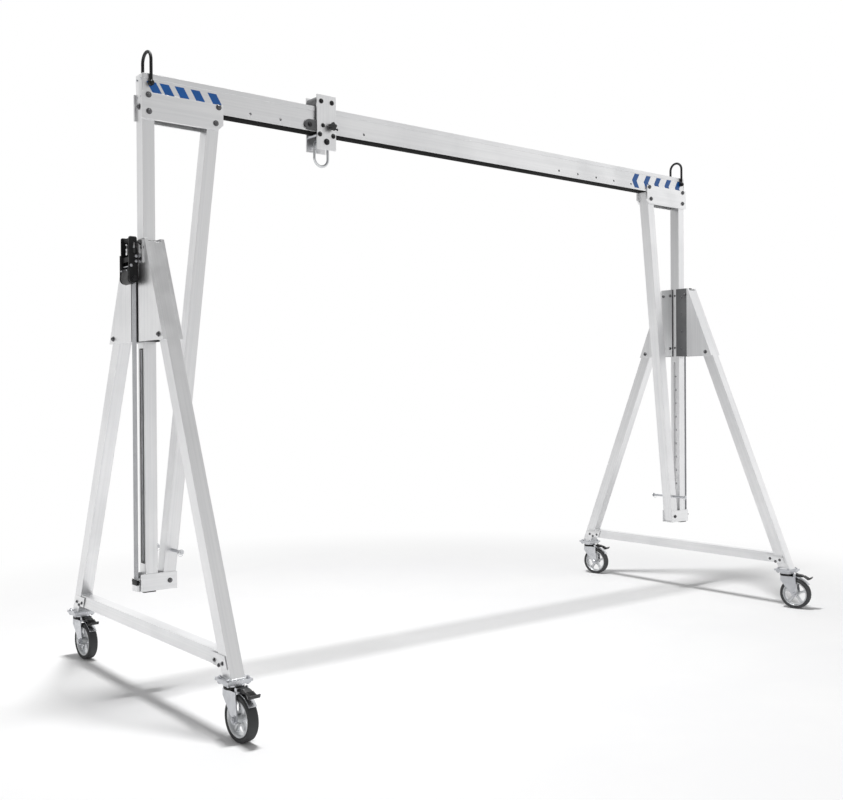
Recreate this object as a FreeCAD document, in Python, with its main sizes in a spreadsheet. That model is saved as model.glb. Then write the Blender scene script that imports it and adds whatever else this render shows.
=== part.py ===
# Portable aluminium gantry crane: a beam on two height-adjustable A-frames.
#
# Frame: X runs along the beam, Y is depth with the front at -Y, and Z is up from the floor.
# The origin is on the floor, midway between the two A-frames. All lengths are millimetres.
# The left half is built and the right half is its mirror image, apart from the castors,
# which point their own way at each end.
import FreeCAD, Part
import os
import re

import Sketcher
from FreeCAD import Rotation, Vector

SIZES = [
    # the whole crane
    ("half_span", 2110, "middle of the crane to the plane of each A-frame"),
    ("beam_top", 3065, "floor to the top of the beam, at the lowest setting"),
    # beam
    ("beam_depth", 140, "height of the beam"),
    ("beam_width", 84, "width of the beam over its lips"),
    ("beam_overhang", 16, "beam end past the plane of the A-frame"),
    ("web_recess", 3, "step from each lip to the web"),
    ("top_lip", 25, "height of the upper lip"),
    ("low_lip", 12, "height of the lower lip"),
    ("web_hole", 14, "bore of the holes through the web"),
    ("web_hole_up", 33, "beam underside to the holes"),
    ("web_hole_first", 581, "A-frame plane to the outermost hole"),
    ("web_hole_pitch", 183, "spacing of the holes"),
    # uprights
    ("post_x", 62, "upright, along the beam"),
    ("post_y", 74, "upright, across the beam"),
    ("post_inset", 12, "A-frame plane to the upright's centre, inward"),
    ("slot_width", 26, "width of the travel slot"),
    ("slot_depth", 11, "depth of the travel slot"),
    ("slot_above", 142, "bottom bracket's underside to the slot's lower end"),
    ("slot_below", 40, "slot's upper end to the head, at the lowest setting"),
    ("lock_hole", 13, "bore of the locking holes"),
    ("lock_pitch", 100, "spacing of the locking holes"),
    ("lock_margin", 40, "slot end to the first locking hole"),
    # braces
    ("brace_x", 66, "brace, across its own length"),
    ("brace_inset", 44.6, "yoke's inner end to the brace's centre at the beam"),
    ("brace_foot", 96, "A-frame plane to the brace's centre at its foot, inward"),
    # bottom bracket
    ("bracket_low", 508, "floor to the bottom bracket"),
    ("bracket_rise", 85, "height of the bottom bracket"),
    ("bracket_out", 48, "A-frame plane to the bracket's outer end"),
    ("bracket_in", 142, "A-frame plane to the bracket's inner end"),
    ("bracket_wall", 6, "thickness of the bottom bracket"),
    ("anchor_rise", 60, "height of the strap's anchor"),
    ("anchor_lip", 6, "anchor past the strap's edges"),
    ("anchor_gap", 5, "gap from the anchor to the upright"),
    # cross pin
    ("cross_pin", 16, "diameter of the cross pin"),
    ("cross_length", 300, "length of the cross pin"),
    ("cross_above", 192, "bottom bracket's underside to the cross pin"),
    # yokes
    ("yoke_out", 28, "A-frame plane to the yoke's outer end"),
    ("yoke_in", 416, "A-frame plane to the yoke's inner end"),
    ("yoke_thick", 8, "thickness of the yoke plates"),
    ("yoke_over", 46, "beam underside to the yoke's top edge"),
    ("yoke_under", 86, "beam underside to the yoke's bottom edge"),
    ("yoke_nick", 30, "corner cut off the yoke's lower inner corner"),
    # lifting loops
    ("loop_rod", 16, "diameter of the lifting loop's rod"),
    ("loop_inset", 22, "A-frame plane to the lifting loop"),
    ("loop_rise", 126, "beam top to the top of the loop"),
    ("loop_boss", 28, "diameter of the loop's end bosses"),
    ("loop_drop", 46, "beam top to the centre of the end bosses"),
    # A-frames
    ("leg_x", 66, "leg, along the beam"),
    ("leg_across", 76, "leg, across its own length"),
    ("foot_outer", 940, "middle to the leg's outer edge at its foot"),
    ("head_half", 120.7, "middle to the legs' outer edge line at the head's top"),
    ("foot_side", 120, "side of the square foot plate"),
    ("foot_thick", 12, "thickness of the foot plate"),
    ("rail_above", 38, "foot plate to the cross rail"),
    ("rail_height", 64, "height of the cross rail"),
    ("rail_x", 60, "cross rail, along the beam"),
    # head
    ("head_low", 1740, "floor to the head's lower edge"),
    ("head_height", 500, "height of the head"),
    ("leg_short", 15, "head top to the leg's top"),
    ("plate_thick", 6, "thickness of the head plates"),
    ("guide_clear", 2, "gap along the beam from an upright to the head plates"),
    ("outer_gap", 45, "middle to the outer head plates"),
    ("guide_gap", 18, "middle to the inner guide plates"),
    ("guide_width", 95, "width of the inner guide plates"),
    ("block_thick", 13, "thickness of the guide blocks"),
    ("slide_fit", 0.5, "gap between an upright and its guide"),
    # winch
    ("bridge_half", 110, "half width of the bridge plate that carries the winch"),
    ("bridge_up", 382, "head's lower edge to the bridge plate"),
    ("bridge_rise", 112, "height of the bridge plate"),
    ("cheek_gap", 3, "gap from the lever to the winch cheeks"),
    ("cheek_thick", 5, "thickness of the winch cheeks"),
    ("cheek_reach", 46, "depth of the winch cheeks"),
    ("cheek_rise", 118, "drum centre to the top of the winch cheeks"),
    ("drum_above", 308, "head's lower edge to the drum's centre"),
    ("drum_wrap", 23, "radius of the drum with the strap on it"),
    ("strap_width", 50, "width of the strap"),
    ("strap_thick", 2.5, "thickness of the strap"),
    ("strap_off", 2.5, "head plate's face to the strap's inner face"),
    ("drum_flange", 8, "drum past the strap's edges"),
    ("winch_axle", 16, "diameter of the drum's shaft"),
    ("lever_eye", 18, "radius of the eyes at the lever's foot"),
    ("lever_reach", 205, "drum centre to the end of the winch lever"),
    ("lever_gap", 5, "gap from the drum to the winch lever"),
    ("lever_bar", 12, "thickness of the lever's bars"),
    # trolley
    ("trolley_at", 1047, "left A-frame plane to the trolley's centre"),
    ("trolley_width", 124, "trolley plate, along the beam"),
    ("trolley_over", 5.7, "top of the rollers to the trolley's top edge"),
    ("trolley_under", 44, "shackle pin's centre to the trolley's bottom edge"),
    ("trolley_thick", 8, "thickness of the trolley plates"),
    ("trolley_side", 8, "gap from the beam's lips to the trolley plates"),
    ("roller_radius", 30, "radius of the trolley rollers"),
    ("roller_apart", 70, "spacing of the rollers"),
    ("roller_axle", 14, "diameter of the roller axles"),
    ("tie_bolt", 16, "diameter of the lower tie bolts"),
    ("tie_apart", 100, "spacing of the lower tie bolts"),
    ("tie_gap", 5, "gap from the beam's underside to the tie bolts"),
    ("shackle_pin", 20, "diameter of the pin that carries the shackle"),
    ("pin_down", 50, "beam underside to the shackle pin's centre"),
    ("shackle_bar", 16, "diameter of the shackle's bar"),
    ("shackle_bend", 44, "bend radius of the shackle, at its centre line"),
    ("shackle_run", 57, "straight run of the shackle's sides"),
    ("knob_radius", 24, "radius of the trolley's lock knob"),
    ("knob_length", 34, "length of the lock knob"),
    ("knob_side", 26, "trolley's centre to the lock knob"),
    ("knob_up", 34, "beam underside to the lock knob's centre"),
    # castors
    ("wheel_radius", 100, "radius of the castor wheels"),
    ("wheel_width", 50, "width of the castor wheels"),
    ("tyre_wall", 20, "thickness of the tyre"),
    ("rim_step", 3, "tyre's side to the rim's edge"),
    ("rim_thick", 9, "thickness of the rim"),
    ("hub_radius", 22, "radius of the hub's boss"),
    ("hub_gap", 1, "gap from the hub's boss to the fork"),
    ("spoke_thick", 16, "spoke, along the rim"),
    ("spoke_wide", 22, "spoke, along the axle"),
    ("trail", 58, "swivel axis to the wheel axle"),
    ("fork_side", 6, "gap from the wheel to the fork's cheeks"),
    ("fork_wall", 5, "thickness of the fork"),
    ("fork_tip", 20, "radius of the fork's cheeks round the axle"),
    ("crown_gap", 12, "gap from the wheel to the fork's crown"),
    ("crown_front", 34, "swivel axis to the front of the crown"),
    ("crown_back", 8, "wheel axle to the back of the crown"),
    ("crown_skirt", 25, "depth of the cheeks at the front of the crown"),
    ("race_radius", 40, "radius of the swivel bearing"),
    ("race_rise", 15, "height of the bearing's lower half"),
    ("race_cover", 6, "bearing's upper half past its lower half"),
    ("cover_rise", 9.7, "height of the bearing's upper half"),
    ("race_gap", 0.3, "running gap of bearings and of what rolls or hangs"),
    ("castor_plate_x", 110, "castor's top plate, along the beam"),
    ("castor_plate_y", 100, "castor's top plate, across the beam"),
    ("castor_plate_thick", 8, "thickness of the castor's top plate"),
    ("axle_radius", 8, "radius of the wheel axle"),
    ("axle_end", 8, "wheel axle past the fork's cheeks"),
    ("axle_fit", 0.1, "running fit of axles and pins in their bores"),
    ("pedal_pin", 8, "diameter of the brake pedal's pin"),
    ("pedal_barrel", 7, "radius of the pedal's barrel"),
    ("pedal_behind", 7, "gap from the bearing to the pedal's barrel"),
    ("pedal_over", 9, "crown to the pedal's pivot"),
    ("pedal_lift", 7, "crown to the underside of the pedal"),
    ("pedal_thick", 7, "thickness of the pedal"),
    ("pedal_reach", 100, "brake pedal, from its pivot to its tip"),
    ("pedal_half", 30, "half width of the pedal's tread"),
    ("stem_half", 18, "half width of the pedal's stem"),
    ("barrel_half", 24, "half width of the pedal's barrel"),
    ("ear_gap", 1, "gap from the pedal's barrel to its ears"),
    ("ear_thick", 5, "thickness of the pedal's ears"),
    ("ear_length", 16, "length of the pedal's ears"),
    ("ear_rise", 17, "height of the pedal's ears"),
    ("left_heading", -86, "trailing direction of the left castors, degrees from +X"),
    ("right_heading", -76, "trailing direction of the right castors, degrees from +X"),
]
WEB_HOLES, LOCK_HOLES, SPOKES = 5, 10, 5

doc = FreeCAD.newDocument("gantry_crane")
sheet = doc.addObject("Spreadsheet::Sheet", "sizes")
for row, (alias, value, meaning) in enumerate(SIZES, start=1):
    sheet.set(f"A{row}", str(value))
    sheet.setAlias(f"A{row}", alias)
    sheet.set(f"B{row}", meaning)
doc.recompute()

X_AXIS, Y_AXIS, Z_AXIS = Vector(1, 0, 0), Vector(0, 1, 0), Vector(0, 0, 1)
NODES = []


def formula(text):
    """Lets a formula name the sheet's aliases without the sheet's own name."""
    aliases = {alias for alias, _, _ in SIZES}
    return re.sub(r"[a-z_]+", lambda m: f"sizes.{m[0]}" if m[0] in aliases else m[0], str(text))


def bind(thing, **formulas):
    """Ties properties to formulas; x, y, z and turn stand for the placement's parts."""
    short = {"x": "Placement.Base.x", "y": "Placement.Base.y", "z": "Placement.Base.z",
             "turn": "Placement.Rotation.Angle"}
    for name, text in formulas.items():
        thing.setExpression(short.get(name, name), formula(text))
    return thing


def box(name, length, width, height, x, y, z):
    """A box from its lowest corner."""
    thing = doc.addObject("Part::Box", name)
    return bind(thing, Length=length, Width=width, Height=height, x=x, y=y, z=z)


def rod(name, radius, length, x, y, z, axis=Z_AXIS):
    """A cylinder that starts at a point and runs along an axis."""
    thing = doc.addObject("Part::Cylinder", name)
    thing.Placement.Rotation = Rotation(Z_AXIS, axis)
    return bind(thing, Radius=radius, Height=length, x=x, y=y, z=z)


def fuse(name, *things):
    """One solid made of several."""
    thing = doc.addObject("Part::MultiFuse", name)
    thing.Shapes = list(things)
    thing.Refine = True
    return thing


def cut(name, base, tool):
    """A solid less a tool."""
    thing = doc.addObject("Part::Cut", name)
    thing.Base, thing.Tool = base, tool
    return thing


def common(name, first, second):
    """What two solids share."""
    thing = doc.addObject("Part::Common", name)
    thing.Base, thing.Tool = first, second
    return thing


def together(name, *things):
    """Separate solids kept in one object."""
    thing = doc.addObject("Part::Compound", name)
    thing.Links = list(things)
    return thing


def mirror(name, source, normal):
    """The mirror image of an object in a plane through the origin."""
    thing = doc.addObject("Part::Mirroring", name)
    thing.Source, thing.Normal, thing.Base = source, normal, Vector(0, 0, 0)
    return thing


def node(name, thing):
    """Names an object as one of the crane's sub-parts."""
    thing.Label = name
    NODES.append(thing)
    return thing


def both_sides(name, thing):
    """An object and its mirror image behind the beam, as one object."""
    return together(name, thing, mirror(name + "_back", thing, Y_AXIS))


def both_ends(name, thing):
    """Makes a left sub-part and its mirror image at the right end."""
    node("left_" + name, thing)
    node("right_" + name, mirror("right_" + name + "_mirror", thing, X_AXIS))


# --- profiles ---------------------------------------------------------------------------

def slab(name, role, points, thickness, **place):
    """A plate padded both ways from one of its body's own planes, with corners by formula."""
    body = doc.addObject("PartDesign::Body", name)
    sketch = body.newObject("Sketcher::SketchObject", name + "_outline")
    plane = next(f for f in body.Origin.OriginFeatures if f.Role == role)
    sketch.AttachmentSupport = (plane, [""])
    sketch.MapMode = "FlatFace"
    count = len(points)
    for i in range(count):
        sketch.addGeometry(Part.LineSegment(Vector(i, i * i, 0), Vector(i + 1, i * i + 9, 0)))
    for i, corner in enumerate(points):
        sketch.addConstraint(Sketcher.Constraint("Coincident", i, 2, (i + 1) % count, 1))
        for kind, text in zip(("DistanceX", "DistanceY"), corner):
            index = sketch.addConstraint(Sketcher.Constraint(kind, -1, 1, i, 1, 10.0))
            sketch.setExpression(f"Constraints[{index}]", formula(text))
    pad = body.newObject("PartDesign::Pad", name + "_pad")
    pad.Profile = sketch
    pad.Midplane = True
    bind(pad, Length=thickness)
    return bind(body, **place)


# --- places that several sub-parts share ------------------------------------------------

PLANE = "-half_span"
BEAM_LOW = "(beam_top - beam_depth)"
CROWN_LOW = "(2 * wheel_radius + crown_gap)"
CROWN_TOP = f"({CROWN_LOW} + fork_wall)"
COVER_LOW = f"({CROWN_TOP} + race_rise + race_gap)"
CASTOR_TOP = f"({COVER_LOW} + cover_rise + castor_plate_thick)"
FOOT_TOP = f"({CASTOR_TOP} + foot_thick)"
HEAD_TOP = "(head_low + head_height)"
LEG_LEAN = f"atan((foot_outer - head_half) / ({HEAD_TOP} - {FOOT_TOP}))"
FOOT_MID = f"(foot_outer - leg_across / cos({LEG_LEAN}) / 2)"
WEB_HALF = "(beam_width / 2 - web_recess)"
BRACE_LEAN = f"atan((yoke_in - brace_inset - brace_foot) / ({BEAM_LOW} - bracket_low))"
PLATE_IN = "(post_inset + post_x / 2 + guide_clear)"
PLATE_STAND = f"({PLATE_IN} - leg_x / 2)"
PLATE_FACE = f"({PLATE_IN} + plate_thick)"
GUIDE_FACE = "(post_y / 2 + slide_fit + block_thick)"
STRAP_FACE = f"({PLATE_FACE} + strap_off)"
DRUM_OUT = f"({STRAP_FACE} + drum_wrap)"
DRUM_UP = "(head_low + drum_above)"
DRUM_HALF = "(strap_width / 2 + drum_flange)"
LEVER_HALF = f"({DRUM_HALF} + lever_gap + lever_bar)"
CHEEK_HALF = f"({LEVER_HALF} + cheek_gap + cheek_thick)"
TROLLEY_MID = "(trolley_at - half_span)"
TROLLEY_FACE = "(beam_width / 2 + trolley_side)"
PIN_UP = f"({BEAM_LOW} - pin_down)"


# --- beam -------------------------------------------------------------------------------

def make_beam():
    length = "2 * (half_span + beam_overhang)"
    start = "-(half_span + beam_overhang)"
    web = box("beam_web", length, f"2 * {WEB_HALF}", "beam_depth", start, f"-{WEB_HALF}", BEAM_LOW)
    top = box("beam_top_lip", length, "beam_width", "top_lip",
              start, "-beam_width / 2", "beam_top - top_lip")
    low = box("beam_low_lip", length, "beam_width", "low_lip", start, "-beam_width / 2", BEAM_LOW)
    holes = []
    for i in range(WEB_HOLES):
        hole = rod(f"web_hole_{i}", "web_hole / 2", "2 * beam_width",
                   f"{PLANE} + web_hole_first + {i} * web_hole_pitch", "-beam_width",
                   f"{BEAM_LOW} + web_hole_up", Y_AXIS)
        holes += [hole, mirror(f"web_hole_{i}_right", hole, X_AXIS)]
    node("beam", cut("beam", fuse("beam_bar", web, top, low), together("web_holes", *holes)))


def make_yokes():
    low = f"{BEAM_LOW} - yoke_under"
    high = f"{BEAM_LOW} + yoke_over"
    step = "beam_width / 2 - post_y / 2"
    outline = [("-yoke_out", low), ("yoke_in - yoke_nick", low), ("yoke_in", f"{low} + yoke_nick"),
               ("yoke_in", high), ("-yoke_out", high)]
    outline = [(f"{PLANE} + {x}", z) for x, z in outline]
    plate = slab("yoke_blank", "XZ_Plane", outline, f"yoke_thick + {step}",
                 y=f"-beam_width / 2 - yoke_thick + (yoke_thick + {step}) / 2")
    rebate = box("yoke_rebate", "yoke_out + yoke_in", step, "yoke_over",
                 f"{PLANE} - yoke_out", "-beam_width / 2", BEAM_LOW)
    both_ends("yoke_plates", both_sides("yoke_pair", cut("yoke_plate", plate, rebate)))


def make_loops():
    centre = "(beam_width / 2 + loop_rod / 2)"
    bend = f"beam_top + loop_rise - loop_rod / 2 - {centre}"
    foot = "beam_top - loop_drop"
    at = f"{PLANE} + loop_inset"
    arc = half_ring("loop_bow", centre, "loop_rod / 2", at, "0", bend,
                    Rotation(Y_AXIS, 90) * Rotation(Z_AXIS, 90))
    leg = rod("loop_leg", "loop_rod / 2", f"({bend}) - ({foot})", at, f"-{centre}", foot)
    boss = rod("loop_boss_front", "loop_boss / 2", f"{centre} + loop_rod / 2 - {WEB_HALF}",
               at, f"-({centre} + loop_rod / 2)", foot, Y_AXIS)
    pieces = [arc]
    for piece in (leg, boss):
        pieces += [piece, mirror(piece.Name + "_back", piece, Y_AXIS)]
    both_ends("lifting_loop", fuse("loop", *pieces))


def half_ring(name, bend, bar, x, y, z, rotation):
    """Half of a ring of round bar; unturned, it is the half on the +Y side, around Z."""
    thing = doc.addObject("Part::Torus", name)
    thing.Placement.Rotation = rotation
    thing.Angle3 = 180
    return bind(thing, Radius1=bend, Radius2=bar, x=x, y=y, z=z)


# --- sliding uprights -------------------------------------------------------------------

def make_posts():
    low = "bracket_low + bracket_wall"
    slot_low = "bracket_low + slot_above"
    mid = f"{PLANE} + post_inset"
    bar = box("post_bar", "post_x", "post_y", f"{BEAM_LOW} - ({low})",
              f"{mid} - post_x / 2", "-post_y / 2", low)
    tools = []
    for name, x in (("outer", f"{mid} - post_x / 2"), ("inner", f"{mid} + post_x / 2 - slot_depth")):
        tools.append(box(f"post_slot_{name}", "slot_depth", "slot_width",
                         f"head_low - slot_below - ({slot_low})", x, "-slot_width / 2", slot_low))
    for i in range(LOCK_HOLES):
        tools.append(rod(f"lock_hole_{i}", "lock_hole / 2", "post_x", f"{mid} - post_x / 2", "0",
                         f"{slot_low} + lock_margin + {i} * lock_pitch", X_AXIS))
    both_ends("post", cut("post", bar, fuse("post_cuts", *tools)))


def make_braces():
    foot = f"{PLANE} + brace_foot"
    bar = doc.addObject("Part::Box", "brace_bar")
    bar.Placement.Rotation = Rotation(Y_AXIS, 5)
    bind(bar, Length="brace_x", Width="post_y", Height=f"beam_top / cos({BRACE_LEAN})",
         x=f"{foot} - brace_x / 2 * cos({BRACE_LEAN})", y="-post_y / 2",
         z=f"bracket_low + brace_x / 2 * sin({BRACE_LEAN})", turn=BRACE_LEAN)
    low = "bracket_low + bracket_wall"
    room = box("brace_room", "half_span", "post_y", f"{BEAM_LOW} - ({low})",
               PLANE, "-post_y / 2", low)
    both_ends("brace", cut("brace", common("brace_trimmed", bar, room), cross_pin_bar("pin_hole")))


def make_brackets():
    length = "bracket_out + bracket_in"
    start = f"{PLANE} - bracket_out"
    side = box("bracket_side", length, "bracket_wall", "bracket_rise",
               start, "-(post_y / 2 + bracket_wall)", "bracket_low")
    floor = box("bracket_floor", length, "post_y + 2 * bracket_wall", "bracket_wall",
                start, "-(post_y / 2 + bracket_wall)", "bracket_low")
    anchor_out = f"{STRAP_FACE} + strap_thick + anchor_lip"
    anchor = box("strap_anchor", f"{anchor_out} - post_x / 2 + post_inset - anchor_gap",
                 "strap_width + 2 * anchor_lip", "anchor_rise",
                 f"{PLANE} - ({anchor_out})",
                 "-(strap_width / 2 + anchor_lip)", "bracket_low")
    both_ends("bottom_bracket", fuse("bracket", side, mirror("bracket_side_back", side, Y_AXIS),
                                     floor, anchor))


def cross_pin_bar(name):
    """The round bar that passes through the brace along Y."""
    at = f"{PLANE} + brace_foot + cross_above * tan({BRACE_LEAN})"
    return rod(name, "cross_pin / 2", "cross_length", at, "-cross_length / 2",
               "bracket_low + cross_above", Y_AXIS)


def make_straps():
    low = "bracket_low + anchor_rise"
    both_ends("strap", box("strap", "strap_thick", "strap_width", f"{DRUM_UP} - ({low})",
                           f"{PLANE} - {STRAP_FACE} - strap_thick", "-strap_width / 2", low))


# --- A-frames ---------------------------------------------------------------------------

def leaning_bar(name, low_x, length, across):
    """A bar whose outer face lies on the front leg's outer edge line."""
    bar = doc.addObject("Part::Box", name)
    bar.Placement.Rotation = Rotation(X_AXIS, 5)
    return bind(bar, Length=length, Width=across, Height=f"{HEAD_TOP} / cos({LEG_LEAN})",
                x=low_x, y="-foot_outer", z=FOOT_TOP, turn=f"-{LEG_LEAN}")


def make_legs():
    bar = leaning_bar("leg_bar", f"{PLANE} - leg_x / 2", "leg_x", "leg_across")
    room = box("leg_room", "leg_x", f"foot_outer - {GUIDE_FACE}", f"{HEAD_TOP} - leg_short - {FOOT_TOP}",
               f"{PLANE} - leg_x / 2", "-foot_outer", FOOT_TOP)
    leg = common("front_leg", bar, room)
    both_ends("front_leg", leg)
    both_ends("back_leg", mirror("back_leg", leg, Y_AXIS))
    plate = box("foot_plate", "foot_side", "foot_side", "foot_thick",
                f"{PLANE} - foot_side / 2", f"-{FOOT_MID} - foot_side / 2", CASTOR_TOP)
    race = rod("upper_race", "race_radius + race_cover", "cover_rise + castor_plate_thick",
               PLANE, f"-{FOOT_MID}", COVER_LOW)
    top = box("castor_plate", "castor_plate_x", "castor_plate_y", "castor_plate_thick",
              f"{PLANE} - castor_plate_x / 2", f"-{FOOT_MID} - castor_plate_y / 2",
              f"{CASTOR_TOP} - castor_plate_thick")
    both_ends("foot_plates", both_sides("foot_plate_pair", fuse("foot", plate, top, race)))


def make_rails():
    bar = leaning_bar("rail_cutter", f"{PLANE} - leg_x / 2", "leg_x", "leg_across")
    reach = f"({FOOT_MID} - (rail_above + rail_height / 2) * tan({LEG_LEAN}))"
    rail = box("rail_bar", "rail_x", f"2 * {reach}", "rail_height",
               f"{PLANE} - rail_x / 2", f"-{reach}", f"{FOOT_TOP} + rail_above")
    cutters = together("rail_cutters", bar, mirror("rail_cutter_back", bar, Y_AXIS))
    both_ends("cross_rail", cut("cross_rail", rail, cutters))


def head_piece(bar, gap):
    """What a leaning bar leaves within the head's height and a gap off the middle."""
    room = box(bar.Name + "_room", "2 * half_span", f"foot_outer - ({gap})", "head_height",
               "-2 * half_span", "-foot_outer", "head_low")
    return common(bar.Name + "_trimmed", bar, room)


def make_heads():
    strip_edge = "guide_gap + guide_width"
    for side, gap in (("outer", "outer_gap"), ("inner", strip_edge)):
        face_x = f"{PLANE} - {PLATE_FACE}" if side == "outer" else f"{PLANE} + {PLATE_IN}"
        pack_x = f"{PLANE} - {PLATE_IN}" if side == "outer" else f"{PLANE} + leg_x / 2"
        face = leaning_bar(f"{side}_face", face_x, "plate_thick", "foot_outer")
        packer = leaning_bar(f"{side}_packer", pack_x, PLATE_STAND, "leg_across")
        plate = fuse(f"{side}_plate", head_piece(face, gap), head_piece(packer, GUIDE_FACE))
        if side == "inner":
            both_ends("head_inner_plates", both_sides("inner_plates", plate))
        else:
            bridge = box("bridge", "plate_thick", "2 * bridge_half", "bridge_rise",
                         f"{PLANE} - {PLATE_FACE} - plate_thick", "-bridge_half", "head_low + bridge_up")
            both_ends("head_outer_plates",
                      fuse("outer_plates", plate, mirror("outer_plate_back", plate, Y_AXIS), bridge))
    strip = box("guide_strip", "plate_thick", "guide_width", "head_height",
                f"{PLANE} + {PLATE_IN}", f"-({strip_edge})", "head_low")
    block = box("guide_block", f"2 * {PLATE_IN}", "block_thick", "head_height",
                f"{PLANE} - {PLATE_IN}", f"-{GUIDE_FACE}", "head_low")
    both_ends("upright_guides", both_sides("guide_pair", fuse("guide", strip, block)))


# --- winches ----------------------------------------------------------------------------

def make_winches():
    back = f"{PLANE} - {PLATE_FACE} - plate_thick"
    at = f"{PLANE} - {DRUM_OUT}"
    cheek = box("cheek_plate", "cheek_reach", "cheek_thick", "cheek_rise",
                f"{back} - cheek_reach", f"-{CHEEK_HALF}", DRUM_UP)
    round_end = rod("cheek_round", "cheek_reach / 2", "cheek_thick",
                    f"{back} - cheek_reach / 2", f"-{CHEEK_HALF}", DRUM_UP, Y_AXIS)
    rear = box("winch_rear", "cheek_thick", f"2 * {CHEEK_HALF}",
               "drum_above + cheek_rise - bridge_up", f"{back} - cheek_thick", f"-{CHEEK_HALF}",
               "head_low + bridge_up")
    drum = rod("winch_drum", "drum_wrap - strap_thick", f"2 * {DRUM_HALF}",
               at, f"-{DRUM_HALF}", DRUM_UP, Y_AXIS)
    shaft = rod("winch_shaft", "winch_axle / 2", f"2 * {CHEEK_HALF}", at,
                f"-{CHEEK_HALF}", DRUM_UP, Y_AXIS)
    both_ends("winch_frame", fuse("winch", cheek, mirror("cheek_plate_back", cheek, Y_AXIS), round_end,
                                  mirror("cheek_round_back", round_end, Y_AXIS), rear, drum, shaft))
    arm = box("lever_arm", "lever_bar", "lever_bar", "lever_reach",
              f"{at} - lever_bar / 2", f"-{LEVER_HALF}", DRUM_UP)
    eye = rod("lever_eye", "lever_eye", "lever_bar", at, f"-{LEVER_HALF}", DRUM_UP, Y_AXIS)
    grip = box("lever_grip", "lever_bar", f"2 * {LEVER_HALF}", "lever_bar",
               f"{at} - lever_bar / 2", f"-{LEVER_HALF}", f"{DRUM_UP} + lever_reach - lever_bar")
    web = box("lever_web", "lever_bar / 2", f"2 * {LEVER_HALF}", "lever_reach / 3",
              f"{at} - lever_bar / 2", f"-{LEVER_HALF}", f"{DRUM_UP} + lever_reach / 3")
    bore = rod("lever_bore", "winch_axle / 2 + axle_fit", f"2 * {LEVER_HALF}",
               at, f"-{LEVER_HALF}", DRUM_UP, Y_AXIS)
    lever = fuse("lever_blank", arm, mirror("lever_arm_back", arm, Y_AXIS), eye,
                 mirror("lever_eye_back", eye, Y_AXIS), grip, web)
    both_ends("winch_lever", cut("lever", lever, bore))


# --- trolley ----------------------------------------------------------------------------

def make_trolley():
    low = f"{PIN_UP} - trolley_under"
    side = box("trolley_plate", "trolley_width", "trolley_thick",
               f"beam_top + 2 * roller_radius + race_gap + trolley_over - ({low})",
               f"{TROLLEY_MID} - trolley_width / 2", f"-({TROLLEY_FACE} + trolley_thick)", low)
    node("trolley_plates", both_sides("trolley_plate_pair", side))
    inner = f"2 * {TROLLEY_FACE}"
    rollers, ties = [], []
    for name, way in (("left", "-"), ("right", "+")):
        x = f"{TROLLEY_MID} {way} roller_apart / 2"
        z = "beam_top + roller_radius + race_gap"
        rollers.append(rod(f"roller_{name}", "roller_radius", inner, x, f"-{TROLLEY_FACE}", z, Y_AXIS))
        ties.append(rod(f"tie_{name}", "tie_bolt / 2", inner, f"{TROLLEY_MID} {way} tie_apart / 2",
                        f"-{TROLLEY_FACE}", f"{BEAM_LOW} - tie_gap - tie_bolt / 2", Y_AXIS))
    node("trolley_rollers", together("rollers", *rollers))
    pin = rod("shackle_pin_bar", "shackle_pin / 2", inner, TROLLEY_MID, f"-{TROLLEY_FACE}",
              PIN_UP, Y_AXIS)
    node("trolley_cross_pins", together("cross_pins", pin, *ties))
    node("trolley_knob", rod("knob", "knob_radius", "knob_length", f"{TROLLEY_MID} + knob_side",
                             f"-({TROLLEY_FACE} + trolley_thick + knob_length)",
                             f"{BEAM_LOW} + knob_up", Y_AXIS))
    top = f"{PIN_UP} + shackle_pin / 2 + race_gap + shackle_bar / 2 - shackle_bend"
    upper = half_ring("shackle_top", "shackle_bend", "shackle_bar / 2",
                      TROLLEY_MID, "0", top, Rotation(X_AXIS, 90))
    lower = half_ring("shackle_bow", "shackle_bend", "shackle_bar / 2",
                      TROLLEY_MID, "0", f"{top} - shackle_run", Rotation(X_AXIS, -90))
    runs = [rod(f"shackle_run_{name}", "shackle_bar / 2", "shackle_run",
                f"{TROLLEY_MID} {way} shackle_bend", "0", f"{top} - shackle_run")
            for name, way in (("left", "-"), ("right", "+"))]
    node("shackle", fuse("shackle", upper, lower, *runs))


# --- castors ----------------------------------------------------------------------------

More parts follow.
